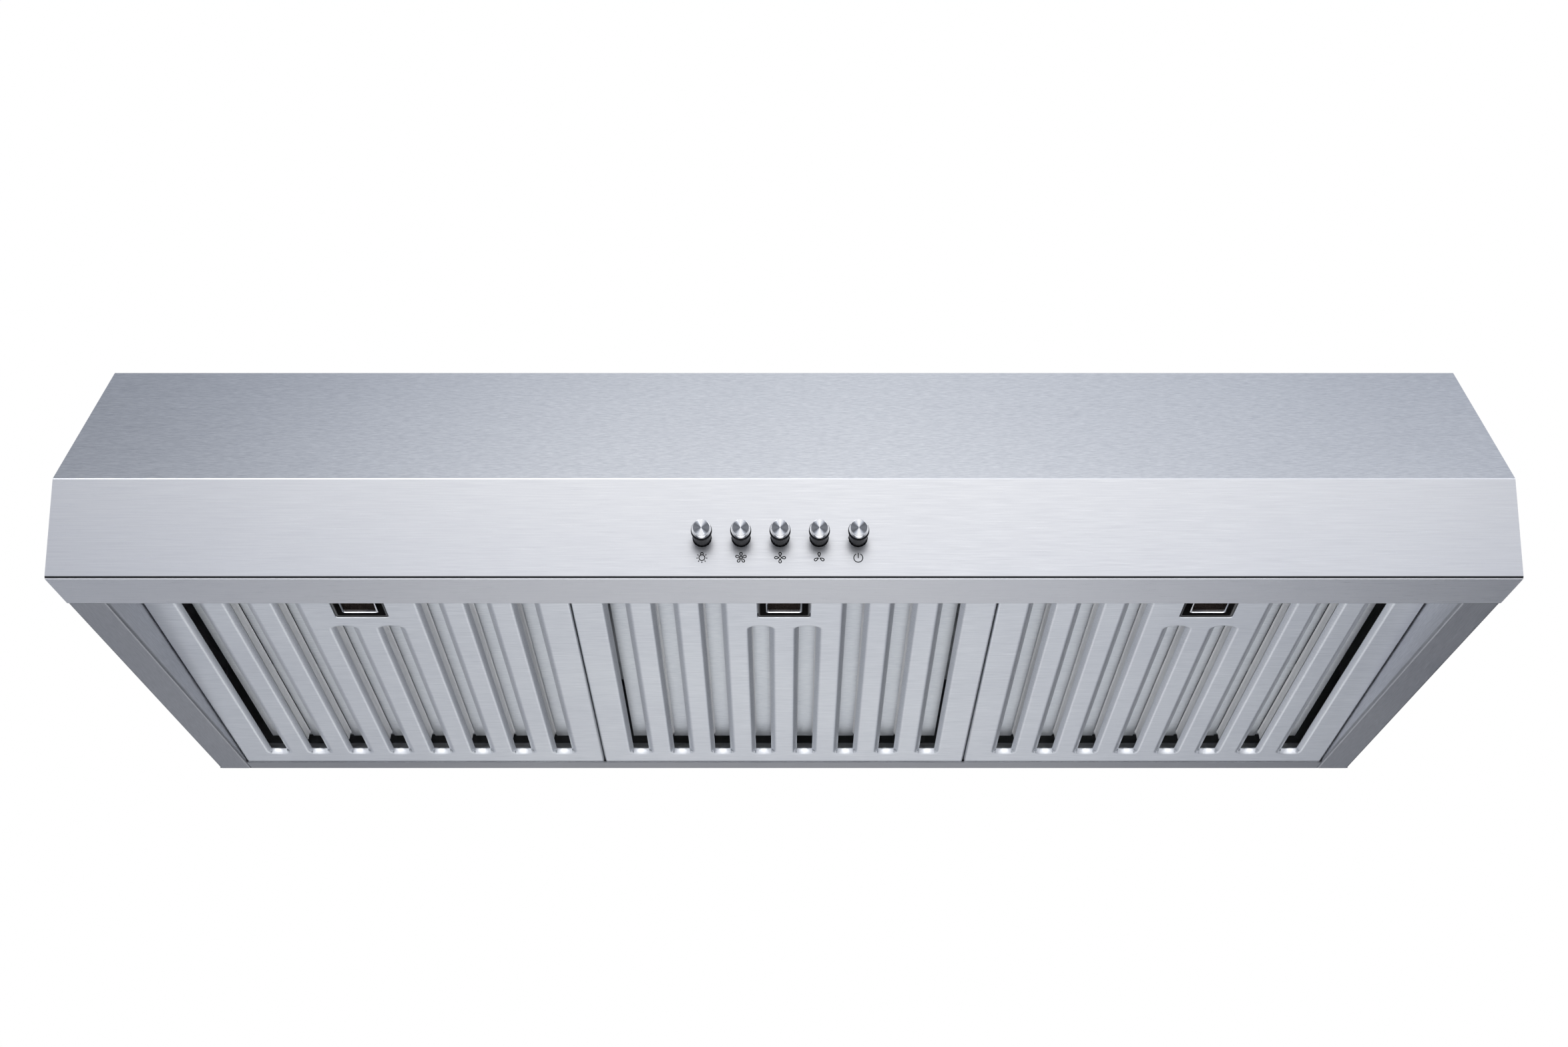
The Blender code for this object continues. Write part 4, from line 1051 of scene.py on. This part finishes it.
# How bright the room is round a circle through front, top and back, by degrees above the front.
ROUND_THE_ROOM = (
    (-90, 1.15), (-62, 0.85), (-35, 0.80), (-8, 1.02), (8, 1.20), (17, 1.25), (32, 1.25), (60, 1.2),
    (95, 1.2), (108, 0.96), (115, 0.76), (130, 0.60), (146, 0.72), (168, 0.76), (177, 0.48), (183, 0.29),
    (191, 0.30), (196, 0.56), (204, 0.80), (220, 1.0), (240, 1.12), (270, 1.15),
)
# What share of it there is to the left (-1) and right (1), and how blue it is there.
FRONT_PANEL = (
    (-1.0, 0.80, 0.3), (-0.78, 0.62, 0.5), (-0.58, 0.18, 1.0), (-0.42, 0.08, 1.0), (-0.33, 0.26, 1.0),
    (-0.246, 0.52, 1.2), (-0.177, 0.66, 0.5), (-0.109, 0.80, 0.2), (0.0, 0.97, 0.1), (0.05, 1.0, 0.1),
    (0.12, 0.93, 0.2), (0.19, 0.82, 0.3), (0.246, 0.66, 0.9), (0.33, 0.34, 1.0), (0.42, 0.10, 1.0),
    (0.58, 0.18, 1.0), (0.78, 0.62, 0.5), (1.0, 0.80, 0.3),
)
ABOVE_PANEL = (
    (-1.0, 0.50, 0.5), (-0.36, 0.20, 1.4), (-0.24, 0.24, 1.4), (-0.18, 0.46, 1.2), (-0.11, 0.73, 0.7),
    (-0.05, 0.92, 0.4), (0.05, 1.0, 0.4), (0.12, 0.84, 0.6), (0.19, 0.66, 0.8), (0.24, 0.55, 1.0),
    (0.36, 0.50, 1.0), (1.0, 0.50, 0.5),
)
BEHIND_PANEL = (
    (-1.0, 0.80, 0.3), (-0.6, 0.70, 0.5), (-0.35, 0.56, 0.8), (-0.254, 0.50, 1.0), (-0.18, 0.58, 0.6),
    (-0.10, 0.82, 0.4), (-0.05, 0.93, 0.3), (0.0, 1.0, 0.3), (0.05, 0.97, 0.3), (0.10, 0.85, 0.5),
    (0.15, 0.68, 0.6), (0.19, 0.55, 0.8), (0.254, 0.22, 1.2), (0.36, 0.14, 1.2), (0.6, 0.60, 0.6),
    (1.0, 0.80, 0.3),
)


def tinted(stops):
    """Stops with a brightness and a blueness turned into places from 0 to 1 and colours."""
    return [(place * 0.5 + 0.5, (v, v * (1 + 0.06 * blue), v * (1 + 0.20 * blue))) for place, v, blue in stops]


def studio():
    """White to the eye; for the metal, a room with soft panels in front, above and behind."""
    world = bpy.data.worlds.new("studio")
    world.use_nodes = True
    tree = world.node_tree
    tree.nodes.clear()
    way = put(tree, "ShaderNodeTexCoord").outputs["Generated"]
    axes = put(tree, "ShaderNodeSeparateXYZ", {"Vector": way})
    across, deep, up = axes.outputs["X"], axes.outputs["Y"], axes.outputs["Z"]
    rise = maths(tree, "ARCTAN2", up, maths(tree, "MULTIPLY", deep, -1.0))
    turn = maths(tree, "FRACT", maths(tree, "MULTIPLY_ADD", rise, 0.5 / pi, 0.25))
    side = maths(tree, "MULTIPLY_ADD", across, 0.5, 0.5)
    panels = (FRONT_PANEL, ABOVE_PANEL, BEHIND_PANEL)
    front, above, behind = [room_ramp(tree, side, tinted(stops)) for stops in panels]
    room = mixed(tree, between(tree, turn, 0.40, 0.50), front, above)
    room = mixed(tree, between(tree, turn, 0.66, 0.72), room, behind)
    level = room_ramp(tree, turn, [((angle + 90) / 360, grey(value)) for angle, value in ROUND_THE_ROOM])
    room = mixed(tree, 1.0, room, level, "MULTIPLY")
    glow = put(tree, "ShaderNodeBackground", {"Color": room, "Strength": 1.0})
    white = put(tree, "ShaderNodeBackground", {"Color": (1.0, 1.0, 1.0, 1.0), "Strength": 1.0})
    seen = put(tree, "ShaderNodeLightPath").outputs["Is Camera Ray"]
    both = put(tree, "ShaderNodeMixShader", {0: seen, 1: glow.outputs[0], 2: white.outputs[0]})
    put(tree, "ShaderNodeOutputWorld", {"Surface": both.outputs[0]})
    bpy.context.scene.world = world
    bpy.context.scene.view_settings.view_transform = "Standard"


def lights():
    """A soft lamp high on the left, a weaker one high on the right, and one below that lights the floor."""
    hood = (0.0, 0.0, -0.08)
    panels = (("key_panel", (-0.7, -1.0, 1.9), hood, 1.2, 7.0),
              ("fill_panel", (1.3, -0.7, 1.5), hood, 1.0, 3.0),
              ("floor_panel", (0.0, -0.3, -0.9), (0.0, -0.3, -2.0), 1.4, 26.0))
    for name, place, target, size, power in panels:
        data = bpy.data.lights.new(name, "AREA")
        data.shape = "SQUARE"
        data.size = size
        data.energy = power
        obj = bpy.data.objects.new(name, data)
        obj.location = place
        obj.rotation_euler = (Vector(target) - Vector(place)).to_track_quat("-Z", "Y").to_euler()
        bpy.context.scene.collection.objects.link(obj)


# The camera's focal length and film width in millimetres, its upward tilt in degrees, and how far it stands in
# front of the face and below the underside, in widths of the hood.
FOCAL_LENGTH = 62.63
FILM_WIDTH = 36.0
TILT = 17.34
STAND_OFF = 1.771
STAND_BELOW = 0.514


def camera():
    """Below the hood and in front of it, looking up at the filters."""
    data = bpy.data.cameras.new("camera")
    data.lens = FOCAL_LENGTH
    data.sensor_width = FILM_WIDTH
    obj = bpy.data.objects.new("camera", data)
    width = 2 * HALF_WIDTH
    obj.location = (0.0, FACE_Y - STAND_OFF * width, UNDERSIDE - STAND_BELOW * width)
    obj.rotation_euler = (radians(90 + TILT), 0.0, 0.0)
    bpy.context.scene.collection.objects.link(obj)
    bpy.context.scene.camera = obj


dress_cad_nodes()
for filter_name in FILTERS:
    own = FilterPlace(filter_name)
    filter_tray(filter_name, own)
    filter_tabs(filter_name, own)
    filter_baffle(filter_name, own)
    latch(filter_name, own)
for button_name in BUTTONS:
    button(button_name)
face_marks()
impellers()
lamps()
fasteners()
stage()
studio()
lights()
camera()
